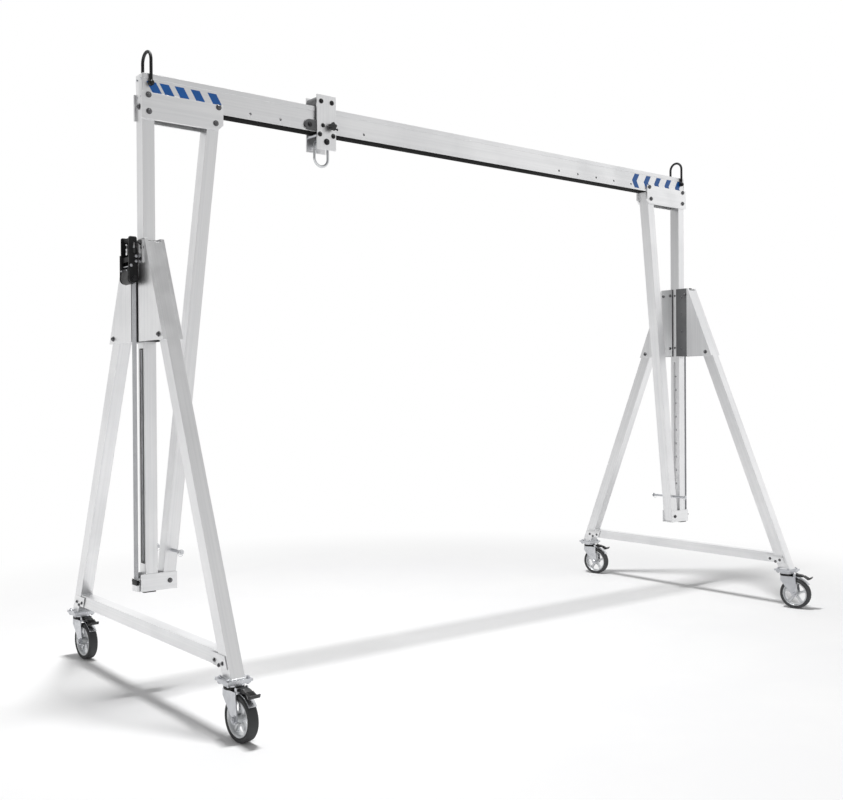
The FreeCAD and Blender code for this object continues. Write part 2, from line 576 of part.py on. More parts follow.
def castor_pieces():
    """One castor at the origin, trailing towards +X: its fork, hub, tyre and pedal."""
    inside = "(wheel_width / 2 + fork_side)"
    outside = f"({inside} + fork_wall)"
    pivot_x = "(race_radius + race_cover + pedal_behind + pedal_barrel)"
    pivot_z = f"({CROWN_TOP} + pedal_over)"
    ear_out = "(barrel_half + ear_gap + ear_thick)"

    outline = [("-crown_front", CROWN_TOP), ("trail + crown_back", CROWN_TOP),
               ("trail + fork_tip", "wheel_radius"), ("trail - fork_tip", "wheel_radius"),
               ("-crown_front", f"{CROWN_LOW} - crown_skirt")]
    outer = slab("fork_blank", "XZ_Plane", outline, f"2 * {outside}")
    ends = rod("fork_ends", "fork_tip", f"2 * {outside}", "trail", f"-{outside}", "wheel_radius", Y_AXIS)
    room = box("fork_room", "4 * wheel_radius", f"2 * {inside}", CROWN_LOW,
               "-2 * wheel_radius", f"-{inside}", "0")
    shell = cut("fork_shell", fuse("fork_solid", outer, ends), room)
    axle = rod("wheel_axle", "axle_radius", f"2 * ({outside} + axle_end)", "trail",
               f"-({outside} + axle_end)", "wheel_radius", Y_AXIS)
    race = rod("lower_race", "race_radius", "race_rise", "0", "0", CROWN_TOP)
    pin = rod("pedal_pin", "pedal_pin / 2", f"2 * {ear_out}", pivot_x, f"-{ear_out}", pivot_z, Y_AXIS)
    ear = box("pedal_ear", "ear_length", "ear_thick", "fork_wall + ear_rise",
              f"{pivot_x} - ear_length / 2", f"-{ear_out}", CROWN_LOW)
    fork = fuse("fork", shell, axle, race, pin, ear, mirror("pedal_ear_back", ear, Y_AXIS))

    rim_outer = "(wheel_radius - tyre_wall)"
    rim_half = "(wheel_width / 2 - rim_step)"
    disc = rod("rim_disc", rim_outer, f"2 * {rim_half}", "trail", f"-{rim_half}", "wheel_radius", Y_AXIS)
    well = rod("rim_well", f"{rim_outer} - rim_thick", "wheel_width", "trail", "-wheel_width / 2",
               "wheel_radius", Y_AXIS)
    spokes = []
    for i in range(SPOKES):
        spoke = doc.addObject("Part::Box", f"spoke_{i}")
        spoke.Placement.Rotation = Rotation(Y_AXIS, 5)
        turn = 360 * i / SPOKES
        spokes.append(bind(spoke, Length="spoke_thick", Width="spoke_wide",
                           Height=f"{rim_outer} - rim_thick / 2", y="-spoke_wide / 2", turn=turn,
                           x=f"trail - spoke_thick / 2 * cos({turn})",
                           z=f"wheel_radius + spoke_thick / 2 * sin({turn})"))
    boss = rod("hub_boss", "hub_radius", f"2 * ({inside} - hub_gap)", "trail",
               f"-({inside} - hub_gap)", "wheel_radius", Y_AXIS)
    bore = rod("hub_bore", "axle_radius + axle_fit", f"2 * {inside}", "trail", f"-{inside}",
               "wheel_radius", Y_AXIS)
    hub = cut("hub", fuse("hub_solid", cut("rim", disc, well), boss, *spokes), bore)

    band = rod("tyre_band", "wheel_radius", "wheel_width", "trail", "-wheel_width / 2",
               "wheel_radius", Y_AXIS)
    hollow = rod("tyre_inside", rim_outer, "wheel_width", "trail", "-wheel_width / 2",
                 "wheel_radius", Y_AXIS)
    tyre = cut("tyre", band, hollow)

    barrel = rod("pedal_barrel", "pedal_barrel", "2 * barrel_half", pivot_x, "-barrel_half",
                 pivot_z, Y_AXIS)
    under = f"{CROWN_TOP} + pedal_lift"
    stem = box("pedal_stem", "pedal_reach", "2 * stem_half", "pedal_thick", pivot_x, "-stem_half", under)
    tread = box("pedal_tread", "pedal_reach / 2", "2 * pedal_half", "pedal_thick",
                f"{pivot_x} + pedal_reach / 2", "-pedal_half", under)
    hole = rod("pedal_hole", "pedal_pin / 2 + axle_fit", f"2 * {ear_out}", pivot_x, f"-{ear_out}",
               pivot_z, Y_AXIS)
    pedal = cut("pedal", fuse("pedal_solid", barrel, tread, stem), hole)
    return {"castor_fork": fork, "castor_hub": hub, "castor_tyre": tyre, "brake_pedal": pedal}


def make_castors():
    pieces = castor_pieces()
    for end, way_x in (("left", "-"), ("right", "")):
        for side, way_y in (("front", "-"), ("back", "")):
            for name, piece in pieces.items():
                copy = together(f"{end}_{side}_{name}", piece)
                copy.Placement.Rotation = Rotation(Z_AXIS, 5)
                bind(copy, x=f"{way_x}half_span", y=f"{way_y}{FOOT_MID}", turn=f"{end}_heading")
                node(copy.Name, copy)


# --- the whole crane --------------------------------------------------------------------

make_beam()
make_yokes()
make_loops()
make_posts()
make_braces()
make_brackets()
both_ends("cross_pin", cross_pin_bar("cross_pin_bar"))
make_straps()
make_legs()
make_rails()
make_heads()
make_winches()
make_trolley()
make_castors()
doc.recompute()

for thing in doc.Objects:
    if "Invalid" in thing.State or "Error" in thing.State:
        raise RuntimeError(f"{thing.Name} failed: {thing.State}")
for thing in NODES:
    if thing.Shape.isNull() or not thing.Shape.isValid():
        raise RuntimeError(f"{thing.Label} has no valid shape")

os.makedirs("parts", exist_ok=True)
for thing in NODES:
    thing.Shape.exportStep(f"parts/{thing.Label}.step")
print(len(NODES), "nodes", sum(thing.Shape.Volume for thing in NODES) / 1e9, "cubic metres")
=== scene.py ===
"""Looks of a portable aluminium gantry crane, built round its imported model.

Metres; X runs along the beam, -Y is the front and Z is up from the floor. The two ends are mirror
images, so most pieces are made by a loop over ENDS, where way is -1 at the left and 1 at the right.
"""
import math

import bmesh
import bpy
from mathutils import Matrix, Vector


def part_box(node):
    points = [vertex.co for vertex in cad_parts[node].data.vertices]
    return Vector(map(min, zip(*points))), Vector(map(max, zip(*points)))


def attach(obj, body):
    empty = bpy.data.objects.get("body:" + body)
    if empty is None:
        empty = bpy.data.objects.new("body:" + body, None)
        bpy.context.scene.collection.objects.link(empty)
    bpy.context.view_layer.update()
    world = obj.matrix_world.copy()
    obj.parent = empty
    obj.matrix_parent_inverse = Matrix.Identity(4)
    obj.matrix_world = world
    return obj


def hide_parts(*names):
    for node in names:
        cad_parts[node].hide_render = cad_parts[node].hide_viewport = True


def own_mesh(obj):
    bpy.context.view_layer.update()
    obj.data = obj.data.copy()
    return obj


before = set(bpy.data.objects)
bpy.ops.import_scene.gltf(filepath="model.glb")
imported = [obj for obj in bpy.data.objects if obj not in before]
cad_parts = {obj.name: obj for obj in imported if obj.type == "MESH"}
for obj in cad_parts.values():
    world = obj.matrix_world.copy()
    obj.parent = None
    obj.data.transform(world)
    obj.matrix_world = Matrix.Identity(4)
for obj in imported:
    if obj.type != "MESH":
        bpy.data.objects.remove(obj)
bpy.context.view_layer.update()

ENDS = (("left", -1), ("right", 1))
SIDES = (("front", -1), ("back", 1))
MM = 0.001
X, Y, Z = Vector((1, 0, 0)), Vector((0, 1, 0)), Vector((0, 0, 1))
TAU = 2 * math.pi

# --- sizes worked out from the frame ---

BEAM_LOW, BEAM_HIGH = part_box("beam")
LEG_LOW, LEG_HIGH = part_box("right_front_leg")
FOOT_LOW, FOOT_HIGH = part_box("right_foot_plates")
HEAD_LOW, HEAD_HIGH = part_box("right_head_inner_plates")
GUIDE_LOW, GUIDE_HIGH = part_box("right_upright_guides")
OUTER_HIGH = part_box("right_head_outer_plates")[1]
POST_LOW, POST_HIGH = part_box("right_post")
YOKE_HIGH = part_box("right_yoke_plates")[1]
BRACKET_LOW, BRACKET_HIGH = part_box("right_bottom_bracket")
STRAP_LOW, STRAP_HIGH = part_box("right_strap")
RAIL_LOW, RAIL_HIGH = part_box("right_cross_rail")
PIN_LOW, PIN_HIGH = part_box("right_cross_pin")
LOOP_LOW, LOOP_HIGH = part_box("right_lifting_loop")
WINCH_LOW, WINCH_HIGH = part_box("right_winch_frame")
LEVER_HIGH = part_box("right_winch_lever")[1]
TROLLEY_LOW, TROLLEY_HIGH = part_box("trolley_plates")
ROLLER_LOW, ROLLER_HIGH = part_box("trolley_rollers")
CROSS_LOW, CROSS_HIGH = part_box("trolley_cross_pins")
KNOB_LOW, KNOB_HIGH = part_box("trolley_knob")
PLANE = (LEG_LOW.x + LEG_HIGH.x) / 2
FOOT_MID = FOOT_HIGH.y - (FOOT_HIGH.x - FOOT_LOW.x) / 2
TROLLEY_X = (TROLLEY_LOW.x + TROLLEY_HIGH.x) / 2

LEG_ACROSS = 76 * MM
LEG_LEAN = math.radians(22.5)
BRACE_LEAN = math.radians(6.5)
WEB_FACE = BEAM_HIGH.y - 3 * MM
DRUM_X, DRUM_Z = PLANE + 76.5 * MM, STRAP_HIGH.z
DRUM_RADIUS = 23 * MM
WINCH_INSIDE = 41 * MM
RATCHET_Y = 35.2 * MM
HEADING = {"left": math.radians(-86), "right": math.radians(-76)}
TRAIL, WHEEL_RADIUS, WHEEL_WIDTH = 58 * MM, 100 * MM, 50 * MM
PEDAL_PIVOT = Vector((60, 0, 226)) * MM


def leg_centre(z):
    """Distance from the middle to a leg's centre line at a height."""
    return FOOT_MID - (z - FOOT_HIGH.z) * math.tan(LEG_LEAN)


def mm(*points):
    """Points given in millimetres."""
    return [tuple(part * MM for part in point) for point in points]


def both_ways(profile):
    """A lathe profile and then its mirror image in height."""
    return profile + [(radius, -height) for radius, height in profile[::-1]]


# --- node helpers ---

# Which sockets of a Mix node are its colours.
MIX_COLOURS, MIX_RESULT = (6, 7), 2


def feed(socket, value):
    """Sets a socket's value, or joins it to an output or to a node's first output."""
    if isinstance(value, bpy.types.Node):
        value = value.outputs[0]
    if isinstance(value, bpy.types.NodeSocket):
        socket.id_data.links.new(value, socket)
    else:
        socket.default_value = value


def add(tree, kind, links=None, **settings):
    """Adds a node; links maps an input's name or number to what feeds it."""
    made = tree.nodes.new(kind)
    for key, value in settings.items():
        setattr(made, key, value)
    for key, value in (links or {}).items():
        feed(made.inputs[key], value)
    return made


def arithmetic(tree, operation, first, second=0.0, third=0.0):
    """A Math node."""
    return add(tree, "ShaderNodeMath", {0: first, 1: second, 2: third}, operation=operation)


def ramp(tree, value, low, high, out_low=0.0, out_high=1.0, kind="SMOOTHSTEP"):
    """A value carried from between two limits to between two others, by a smooth step if not told."""
    return add(tree, "ShaderNodeMapRange", {
        "Value": value, "From Min": low, "From Max": high, "To Min": out_low, "To Max": out_high},
        interpolation_type=kind)


def blend_colours(tree, mask, first, second):
    """The first colour where the mask is 0 and the second where it is 1."""
    made = add(tree, "ShaderNodeMix", {"Factor": mask}, data_type="RGBA")
    for number, colour in zip(MIX_COLOURS, (first, second)):
        feed(made.inputs[number], (*colour, 1) if isinstance(colour, tuple) else colour)
    return made.outputs[MIX_RESULT]


def object_place(tree):
    """Where a point is in its object's own coordinates."""
    return add(tree, "ShaderNodeTexCoord").outputs["Object"]


def noise(tree, place, scale, detail, **more):
    """The value of a noise texture."""
    links = {"Vector": place, "Scale": scale, "Detail": detail, **more}
    return add(tree, "ShaderNodeTexNoise", links).outputs["Fac"]


def vector_maths(tree, operation, *values):
    """A Vector Math node's outputs."""
    return add(tree, "ShaderNodeVectorMath", dict(enumerate(values)), operation=operation).outputs


def new_group(name, kind, inputs, outputs):
    """A node group with its sockets made, and its input and output nodes."""
    tree = bpy.data.node_groups.new(name, kind)
    for label, socket, value in inputs:
        made = tree.interface.new_socket(name=label, in_out="INPUT", socket_type="NodeSocket" + socket)
        if value is not None:
            made.default_value = value
    for label, socket in outputs:
        tree.interface.new_socket(name=label, in_out="OUTPUT", socket_type="NodeSocket" + socket)
    return tree, tree.nodes.new("NodeGroupInput").outputs, tree.nodes.new("NodeGroupOutput").inputs


# --- shared surface effects ---

def make_drawn_lines():
    """Fine lines that run along local Z, as extruding or brushing leaves them."""
    tree, given, out = new_group(
        "drawn_lines", "ShaderNodeTree",
        [("Vector", "Vector", None), ("Fineness", "Float", 900.0), ("Stretch", "Float", 0.01)],
        [("Height", "Float"), ("Streaks", "Float")])
    along = arithmetic(tree, "MULTIPLY", given["Fineness"], given["Stretch"])
    scale = add(tree, "ShaderNodeCombineXYZ", {0: given["Fineness"], 1: given["Fineness"], 2: along})
    where = vector_maths(tree, "MULTIPLY", given["Vector"], scale)[0]
    feed(out["Height"], noise(tree, where, 1.0, 2.0))
    feed(out["Streaks"], ramp(tree, noise(tree, where, 0.12, 3.0), 0.3, 0.7))
    return tree


def make_edge_wear():
    """A rounded edge for the normal, and a broken mask of rubbed metal along it."""
    tree, given, out = new_group(
        "edge_wear", "ShaderNodeTree", [("Radius", "Float", 0.002), ("Breakup", "Float", 60.0)],
        [("Normal", "Vector"), ("Rubbed", "Float")])
    bevel = add(tree, "ShaderNodeBevel", {"Radius": given["Radius"]}, samples=4)
    true = add(tree, "ShaderNodeNewGeometry").outputs["Normal"]
    facing = vector_maths(tree, "DOT_PRODUCT", bevel, true)["Value"]
    edge = ramp(tree, facing, 0.99, 0.8)
    broken = ramp(tree, noise(tree, object_place(tree), given["Breakup"], 4.0), 0.4, 0.6, 0.35, 1.0)
    feed(out["Normal"], bevel)
    feed(out["Rubbed"], arithmetic(tree, "MULTIPLY", edge, broken))
    return tree


def make_handling():
    """Soft patches where hands, rain and floors have dulled a surface."""
    tree, given, out = new_group(
        "handling", "ShaderNodeTree", [("Size", "Float", 6.0), ("Low", "Float", 0.3), ("High", "Float", 0.5)],
        [("Patches", "Float"), ("Roughness", "Float")])
    big = noise(tree, object_place(tree), given["Size"], 5.0, Roughness=0.6, Distortion=0.4)
    patches = ramp(tree, big, 0.35, 0.65)
    feed(out["Patches"], patches)
    feed(out["Roughness"], ramp(tree, patches, 0.0, 1.0, given["Low"], given["High"], "LINEAR"))
    return tree


def make_grain():
    """The fine pebbled skin of powder coat, castings, rubber and moulded plastic."""
    tree, given, out = new_group(
        "grain", "ShaderNodeTree", [("Scale", "Float", 900.0)], [("Height", "Float"), ("Specks", "Float")])
    place = object_place(tree)
    cells = add(tree, "ShaderNodeTexVoronoi", {"Vector": place, "Scale": given["Scale"]})
    fine = noise(tree, place, given["Scale"], 3.0)
    feed(out["Height"], arithmetic(tree, "ADD", cells.outputs["Distance"], fine))
    feed(out["Specks"], ramp(tree, fine, 0.55, 0.7))
    return tree


DRAWN_LINES, EDGE_WEAR = make_drawn_lines(), make_edge_wear()
HANDLING, GRAIN = make_handling(), make_grain()


def place_group(tree, group, **values):
    """A shader group in a material, with that material's own values; names use _ for a space."""
    made = add(tree, "ShaderNodeGroup", node_tree=group)
    for key, value in values.items():
        feed(made.inputs[key.replace("_", " ")], value)
    return made.outputs


def new_material(name, **plain):
    """A material with its Principled shader; plain values are set on the shader's own sockets."""
    material = bpy.data.materials.new(name)
    material.use_nodes = True
    sockets = material.node_tree.nodes["Principled BSDF"].inputs
    for key, value in plain.items():
        sockets[key.replace("_", " ")].default_value = value
    return material, material.node_tree, sockets


def finish_look(tree, sockets, colour, dull, wear, height, strength, distance):
    """Joins a colour, a roughness and a bumped normal to the shader."""
    rough = add(tree, "ShaderNodeBump", {"Height": height, "Strength": strength, "Distance": distance,
                                         "Normal": wear["Normal"]})
    for key, value in (("Base Color", colour), ("Roughness", dull["Roughness"]), ("Normal", rough)):
        feed(sockets[key], value)


# --- materials ---

def drawn_metal(name, along, light, dark, rough=(0.32, 0.40), fineness=900.0, stretch=0.01,
                edge=2.0 * MM, depth=0.25):
    """Bare metal with fine lines along a direction, dulled in patches and bright on its edges."""
    material, tree, sockets = new_material(name, Metallic=1.0)
    turn = Vector(along).to_track_quat("Z", "Y").inverted().to_euler()
    turned = add(tree, "ShaderNodeMapping", {"Vector": object_place(tree), "Rotation": turn})
    lines = place_group(tree, DRAWN_LINES, Vector=turned, Fineness=fineness, Stretch=stretch)
    wear = place_group(tree, EDGE_WEAR, Radius=edge)
    dull = place_group(tree, HANDLING, Size=2.5, Low=rough[0], High=rough[1])
    mottled = arithmetic(tree, "MULTIPLY", dull["Patches"], 0.3)
    mask = arithmetic(tree, "MULTIPLY_ADD", lines["Streaks"], 0.5, mottled)
    bright = tuple(min(1.0, 1.15 * part) for part in light)
    colour = blend_colours(tree, wear["Rubbed"], blend_colours(tree, mask, light, dark), bright)
    finish_look(tree, sockets, colour, dull, wear, lines["Height"], depth, 0.05 * MM)
    return material


def coated(name, colour, edge_colour, rough, scale, depth, edge=1.5 * MM, **plain):
    """Powder coat, moulded plastic, rubber or a casting: a pebbled skin, paler where it is rubbed."""
    material, tree, sockets = new_material(name, **plain)
    grain = place_group(tree, GRAIN, Scale=scale)
    wear = place_group(tree, EDGE_WEAR, Radius=edge)
    dull = place_group(tree, HANDLING, Size=9.0, Low=rough[0], High=rough[1])
    dusty = tuple(part * 1.35 + 0.004 for part in colour)
    soiled = arithmetic(tree, "MULTIPLY", dull["Patches"], 0.5)
    mask = arithmetic(tree, "MULTIPLY_ADD", grain["Specks"], 0.4, soiled)
    body = blend_colours(tree, mask, colour, dusty)
    finish_look(tree, sockets, blend_colours(tree, wear["Rubbed"], body, edge_colour), dull, wear,
                grain["Height"], depth, 0.15 * MM)
    return material


def woven_webbing(name, light, dark):
    """Polyester strap: a twill of warp and weft threads, dulled in patches."""
    material, tree, sockets = new_material(name, Sheen_Weight=0.3)
    parts = add(tree, "ShaderNodeSeparateXYZ", {0: object_place(tree)}).outputs
    slant = arithmetic(tree, "ADD", parts["Y"], parts["Z"])
    warp, weft = (arithmetic(tree, "SINE", arithmetic(tree, "MULTIPLY", across, TAU / (pitch * MM)))
                  for across, pitch in ((parts["Y"], 2.2), (slant, 3.4)))
    threads = arithmetic(tree, "MULTIPLY_ADD", arithmetic(tree, "MULTIPLY", warp, weft), 0.5, 0.5)
    wear = place_group(tree, EDGE_WEAR, Radius=0.8 * MM)
    dull = place_group(tree, HANDLING, Size=12.0, Low=0.7, High=0.9)
    soiled = arithmetic(tree, "MULTIPLY", dull["Patches"], 0.5)
    colour = blend_colours(tree, soiled, blend_colours(tree, threads, dark, light), dark)
    finish_look(tree, sockets, colour, dull, wear, threads, 0.6, 0.5 * MM)
    return material


TUBE = dict(light=(0.82, 0.82, 0.825), dark=(0.72, 0.725, 0.735))
PLATE = dict(light=(0.84, 0.84, 0.845), dark=(0.73, 0.735, 0.745), fineness=600.0, stretch=0.03)
LEG_RISE, BRACE_RISE = math.cos(LEG_LEAN), math.cos(BRACE_LEAN)
DRAWN = (
    ("tube_upright", Z, TUBE),
    ("tube_rail", Y, TUBE),
    ("tube_front", (0, math.sin(LEG_LEAN), LEG_RISE), TUBE),
    ("tube_back", (0, -math.sin(LEG_LEAN), LEG_RISE), TUBE),
    ("tube_left_brace", (math.sin(BRACE_LEAN), 0, BRACE_RISE), TUBE),
    ("tube_right_brace", (-math.sin(BRACE_LEAN), 0, BRACE_RISE), TUBE),
    ("beam_alloy", X, dict(light=(0.80, 0.80, 0.805), dark=(0.70, 0.705, 0.715), fineness=700.0,
                           rough=(0.28, 0.42), stretch=0.006)),
    ("plate_along", X, PLATE),
    ("plate_up", Z, PLATE),
    ("plate_across", Y, PLATE),
    # plate_painted_shade: plate metal darkened to paint the shade on the cover plates inside the heads.
    ("plate_painted_shade", Z, dict(light=(0.58, 0.585, 0.59), dark=(0.50, 0.505, 0.515), rough=(0.35, 0.5))),
    ("zinc", Z, dict(light=(0.62, 0.63, 0.65), dark=(0.46, 0.47, 0.50), rough=(0.25, 0.45),
                     fineness=260.0, stretch=0.8, edge=1.0 * MM, depth=0.4)),
    ("bright_steel", X, dict(light=(0.72, 0.73, 0.74), dark=(0.55, 0.56, 0.58), rough=(0.18, 0.32),
                             fineness=500.0, stretch=0.3, edge=0.8 * MM)),
)
# Each coat: its colour, its rubbed edge's colour, least and most roughness, the grain's scale and
# depth, and what else it sets.
COATS = (
    ("weld", (0.66, 0.67, 0.68), (0.8, 0.8, 0.8), (0.35, 0.55), 700.0, 0.6, dict(Metallic=1.0)),
    ("cast", (0.58, 0.59, 0.60), (0.75, 0.75, 0.76), (0.38, 0.55), 420.0, 0.5,
     dict(edge=2.5 * MM, Metallic=1.0)),
    ("black_coat", (0.006, 0.006, 0.0065), (0.05, 0.05, 0.052), (0.36, 0.52), 800.0, 0.35,
     dict(Specular_IOR_Level=0.3)),
    ("dull_bolt", (0.13, 0.13, 0.135), (0.36, 0.36, 0.37), (0.34, 0.5), 1500.0, 0.3,
     dict(edge=0.8 * MM, Metallic=0.9)),
    ("black_bolt", (0.012, 0.012, 0.013), (0.10, 0.10, 0.105), (0.32, 0.48), 1500.0, 0.3,
     dict(edge=0.8 * MM, Metallic=0.4)),
    ("plastic", (0.014, 0.014, 0.015), (0.05, 0.05, 0.052), (0.38, 0.55), 1100.0, 0.4, {}),
    # guide: its dark grey paints the shade inside the heads on the guide strips; the trolley's rollers and
    # lock arms take the same grey.
    ("guide", (0.085, 0.086, 0.089), (0.17, 0.17, 0.175), (0.45, 0.6), 900.0, 0.3, {}),
    # wear_strip: near black and almost without reflection, painted shade for the beam's underside.
    ("wear_strip", (0.006, 0.006, 0.006), (0.02, 0.02, 0.02), (0.75, 0.9), 700.0, 0.3,
     dict(Specular_IOR_Level=0.05)),
    ("tyre", (0.042, 0.043, 0.045), (0.07, 0.071, 0.073), (0.62, 0.82), 650.0, 0.5, {}),
    ("grip", (0.018, 0.018, 0.019), (0.04, 0.04, 0.04), (0.6, 0.8), 1200.0, 0.7, {}),
    ("blue_vinyl", (0.002, 0.088, 0.33), (0.01, 0.14, 0.42), (0.30, 0.42), 2500.0, 0.08,
     dict(edge=0.3 * MM)),
)
MATERIALS = {name: drawn_metal(name, along, **look) for name, along, look in DRAWN}
MATERIALS.update((name, coated(name, *look, **more)) for name, *look, more in COATS)
MATERIALS["webbing"] = woven_webbing("woven_webbing", (0.62, 0.63, 0.65), (0.46, 0.47, 0.49))
# The webbing wound on the drums is the strap's grey darkened to paint the shade inside the winches.
MATERIALS["wound_webbing_painted_shade"] = woven_webbing("wound_webbing_painted_shade", (0.10, 0.10, 0.11), (0.05, 0.05, 0.055))

NODE_MATERIALS = {
    "beam": "beam_alloy", "yoke_plates": "plate_along", "lifting_loop": "black_coat",
    "post": "tube_upright", "bottom_bracket": "plate_along", "cross_pin": "zinc",
    "front_leg": "tube_front", "back_leg": "tube_back", "foot_plates": "zinc",
    "cross_rail": "tube_rail", "head_outer_plates": "plate_up", "head_inner_plates": "plate_up",
    "upright_guides": "guide", "winch_frame": "black_coat", "trolley_plates": "plate_up",
    "trolley_rollers": "guide", "trolley_cross_pins": "zinc", "shackle": "bright_steel",
    "castor_fork": "zinc", "left_brace": "tube_left_brace", "right_brace": "tube_right_brace",
}


def finish_nodes():
    """Gives every carried-over part its material."""
    for name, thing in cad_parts.items():
        kind = next((k for k in NODE_MATERIALS if name == k or name.endswith("_" + k)), None)
        if kind:
            thing.data.materials.clear()
            thing.data.materials.append(MATERIALS[NODE_MATERIALS[kind]])


# --- mesh helpers ---

def put(name, data):
    """A new object in the scene."""
    thing = bpy.data.objects.new(name, data)
    bpy.context.scene.collection.objects.link(thing)
    return thing


def to_data(mesh, name="part"):
    """A bmesh as mesh data."""
    data = bpy.data.meshes.new(name)
    mesh.to_mesh(data)
    mesh.free()
    return data


def piece(name, mesh, body, material, replaced=()):
    """Turns a bmesh into a finished piece that rides on a body."""
    bmesh.ops.remove_doubles(mesh, verts=mesh.verts, dist=1e-6)
    bmesh.ops.recalc_face_normals(mesh, faces=mesh.faces)
    return piece_from_data(name, to_data(mesh, name), body, material, replaced)


def piece_from_data(name, data, body, material, replaced=(), sharp=35):
    """Makes mesh data a finished piece; data grown by a tree has its material already."""
    if not data.materials:
        data.materials.append(MATERIALS[material])
    data.shade_smooth()
    data.set_sharp_from_angle(angle=math.radians(sharp))
    thing = put(name, data)
    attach(thing, body)
    if replaced:
        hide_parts(*replaced)
    return thing


def basis(origin, axis, hint=Z):
    """A matrix whose Z lies along an axis and whose X lies as near a hint as it can."""
    z = Vector(axis).normalized()
    if abs(z.dot(hint)) > 0.99:
        hint = X
    x = (hint - z * z.dot(hint)).normalized()
    return Matrix.Translation(origin) @ Matrix((x, z.cross(x), z)).transposed().to_4x4()


def upright(x=0.0, y=0.0, z=0.0, across=1, out=1):
    """Stands local XY up in a plane along X and Z, with its thickness along Y; signs may mirror it."""
    return Matrix(((across, 0, 0, x), (0, 0, out, y), (0, 1, 0, z), (0, 0, 0, 1)))


def bevel_sharp(mesh, width, angle=30):
    """Rounds every edge that turns by more than an angle."""
    limit = math.radians(angle)
    edges = [e for e in mesh.edges if len(e.link_faces) == 2 and e.calc_face_angle(0) > limit]
    bmesh.ops.bevel(mesh, geom=edges, offset=width, segments=2, profile=0.6, affect="EDGES",
                    clamp_overlap=True)


def join_into(target, source, place=None):
    """Adds one bmesh to another, moved by a matrix, and returns the target."""
    data = to_data(source)
    if place is not None:
        data.transform(place)
        if place.determinant() < 0:
            data.flip_normals()
    target.from_mesh(data)
    bpy.data.meshes.remove(data)
    return target


def block(low, high, round_edge):
    """A box with rounded edges."""
    mesh = bmesh.new()
    low, high = Vector(map(min, low, high)), Vector(map(max, low, high))
    place = Matrix.Translation((low + high) / 2) @ Matrix.Diagonal((*(high - low), 1))
    bmesh.ops.create_cube(mesh, size=1, matrix=place)
    bevel_sharp(mesh, round_edge)
    return mesh


def sheathe(mesh, rings, closed, capped):
    """Faces between rings of vertices; a ring may be one point. Closed joins the last to the first."""
    steps = max(map(len, rings))
    for first, second in zip(rings, rings[1:] + (rings[:1] if closed else [])):
        for i in range(steps):
            j = (i + 1) % steps
            loop = [first[i % len(first)], first[j % len(first)], second[j % len(second)],
                    second[i % len(second)]]
            loop = list(dict.fromkeys(loop))
            if len(loop) > 2:
                mesh.faces.new(loop)
    if capped:
        mesh.faces.new(rings[0][::-1])
        mesh.faces.new(rings[-1])
    bmesh.ops.recalc_face_normals(mesh, faces=mesh.faces)
    return mesh


def prism(outline, thickness, round_edge=0.0):
    """An outline in local XY with thickness along local Z, from 0 up."""
    mesh = bmesh.new()
    lows = [mesh.verts.new((x, y, 0)) for x, y in outline]
    highs = [mesh.verts.new((x, y, thickness)) for x, y in outline]
    mesh.faces.new(lows[::-1])
    mesh.faces.new(highs)
    for i, low in enumerate(lows):
        j = (i + 1) % len(lows)
        mesh.faces.new((low, lows[j], highs[j], highs[i]))
    bmesh.ops.recalc_face_normals(mesh, faces=mesh.faces)
    if round_edge:
        bevel_sharp(mesh, round_edge)
    return mesh


def lathe(profile, steps=48, closed=False):
    """Turns (radius, height) points round local Z; closed joins the last point to the first."""
    mesh = bmesh.new()
    angles = [TAU * i / steps for i in range(steps)]
    rings = [[mesh.verts.new((radius * math.cos(a), radius * math.sin(a), height)) for a in angles]
             if radius > 1e-7 else [mesh.verts.new((0, 0, height))] for radius, height in profile]
    return sheathe(mesh, rings, closed, False)


def arc(centre, radius, start, end, steps):
    """Points along an arc, with its angles in degrees."""
    angles = [math.radians(start + (end - start) * i / steps) for i in range(steps + 1)]
    return [(centre[0] + radius * math.cos(a), centre[1] + radius * math.sin(a)) for a in angles]


def tube(path, radius, sides=16, closed=False):
    """A round bar along a run of points, with flat ends unless it closes on itself."""
    mesh = bmesh.new()
    rings, last = [], None
    count = len(path)
    for i, point in enumerate(path):
        after = path[(i + 1) % count] if closed or i + 1 < count else point
        before = path[i - 1] if closed or i else point
        along = (after - before).normalized()
        if last is None:
            last = along.orthogonal().normalized()
        last = (last - along * along.dot(last)).normalized()
        other = along.cross(last)
        rings.append([mesh.verts.new(point + (last * math.cos(TAU * k / sides)
                                              + other * math.sin(TAU * k / sides)) * radius)
                      for k in range(sides)])
    return sheathe(mesh, rings, closed, not closed)


# --- geometry node trees ---

BLOCK_SOCKETS = [("Block Size", "Vector", None), ("Material", "Material", None)]


def new_tree(name, inputs):
    """A geometry node tree whose first socket each way is the geometry."""
    return new_group(name, "GeometryNodeTree", [("Geometry", "Geometry", None), *inputs],
                     [("Geometry", "Geometry")])


def finish_tree(tree, geometry, given, out):
    """Realizes the instances and sets the material, as every tree here ends."""
    real = add(tree, "GeometryNodeRealizeInstances", {0: geometry})
    feed(out[0], add(tree, "GeometryNodeSetMaterial", {"Geometry": real, "Material": given["Material"]}))
    return tree


def moved(tree, geometry, z):
    """Geometry moved up its own Z by a value or an output."""
    shift = add(tree, "ShaderNodeCombineXYZ", {2: z})
    return add(tree, "GeometryNodeTransform", {"Geometry": geometry, "Translation": shift})


def joined(tree, *parts):
    """Several geometries as one."""
    made = tree.nodes.new("GeometryNodeJoinGeometry")
    for part in parts:
        feed(made.inputs[0], part)
    return made


def on_points(tree, points, instance, **more):
    """Instances on points, turned or scaled where told."""
    return add(tree, "GeometryNodeInstanceOnPoints", {"Points": points, "Instance": instance, **more})


def cylinder(tree, vertices, radius, depth):
    """A mesh cylinder about the origin."""
    return add(tree, "GeometryNodeMeshCylinder", {"Vertices": vertices, "Radius": radius, "Depth": depth})


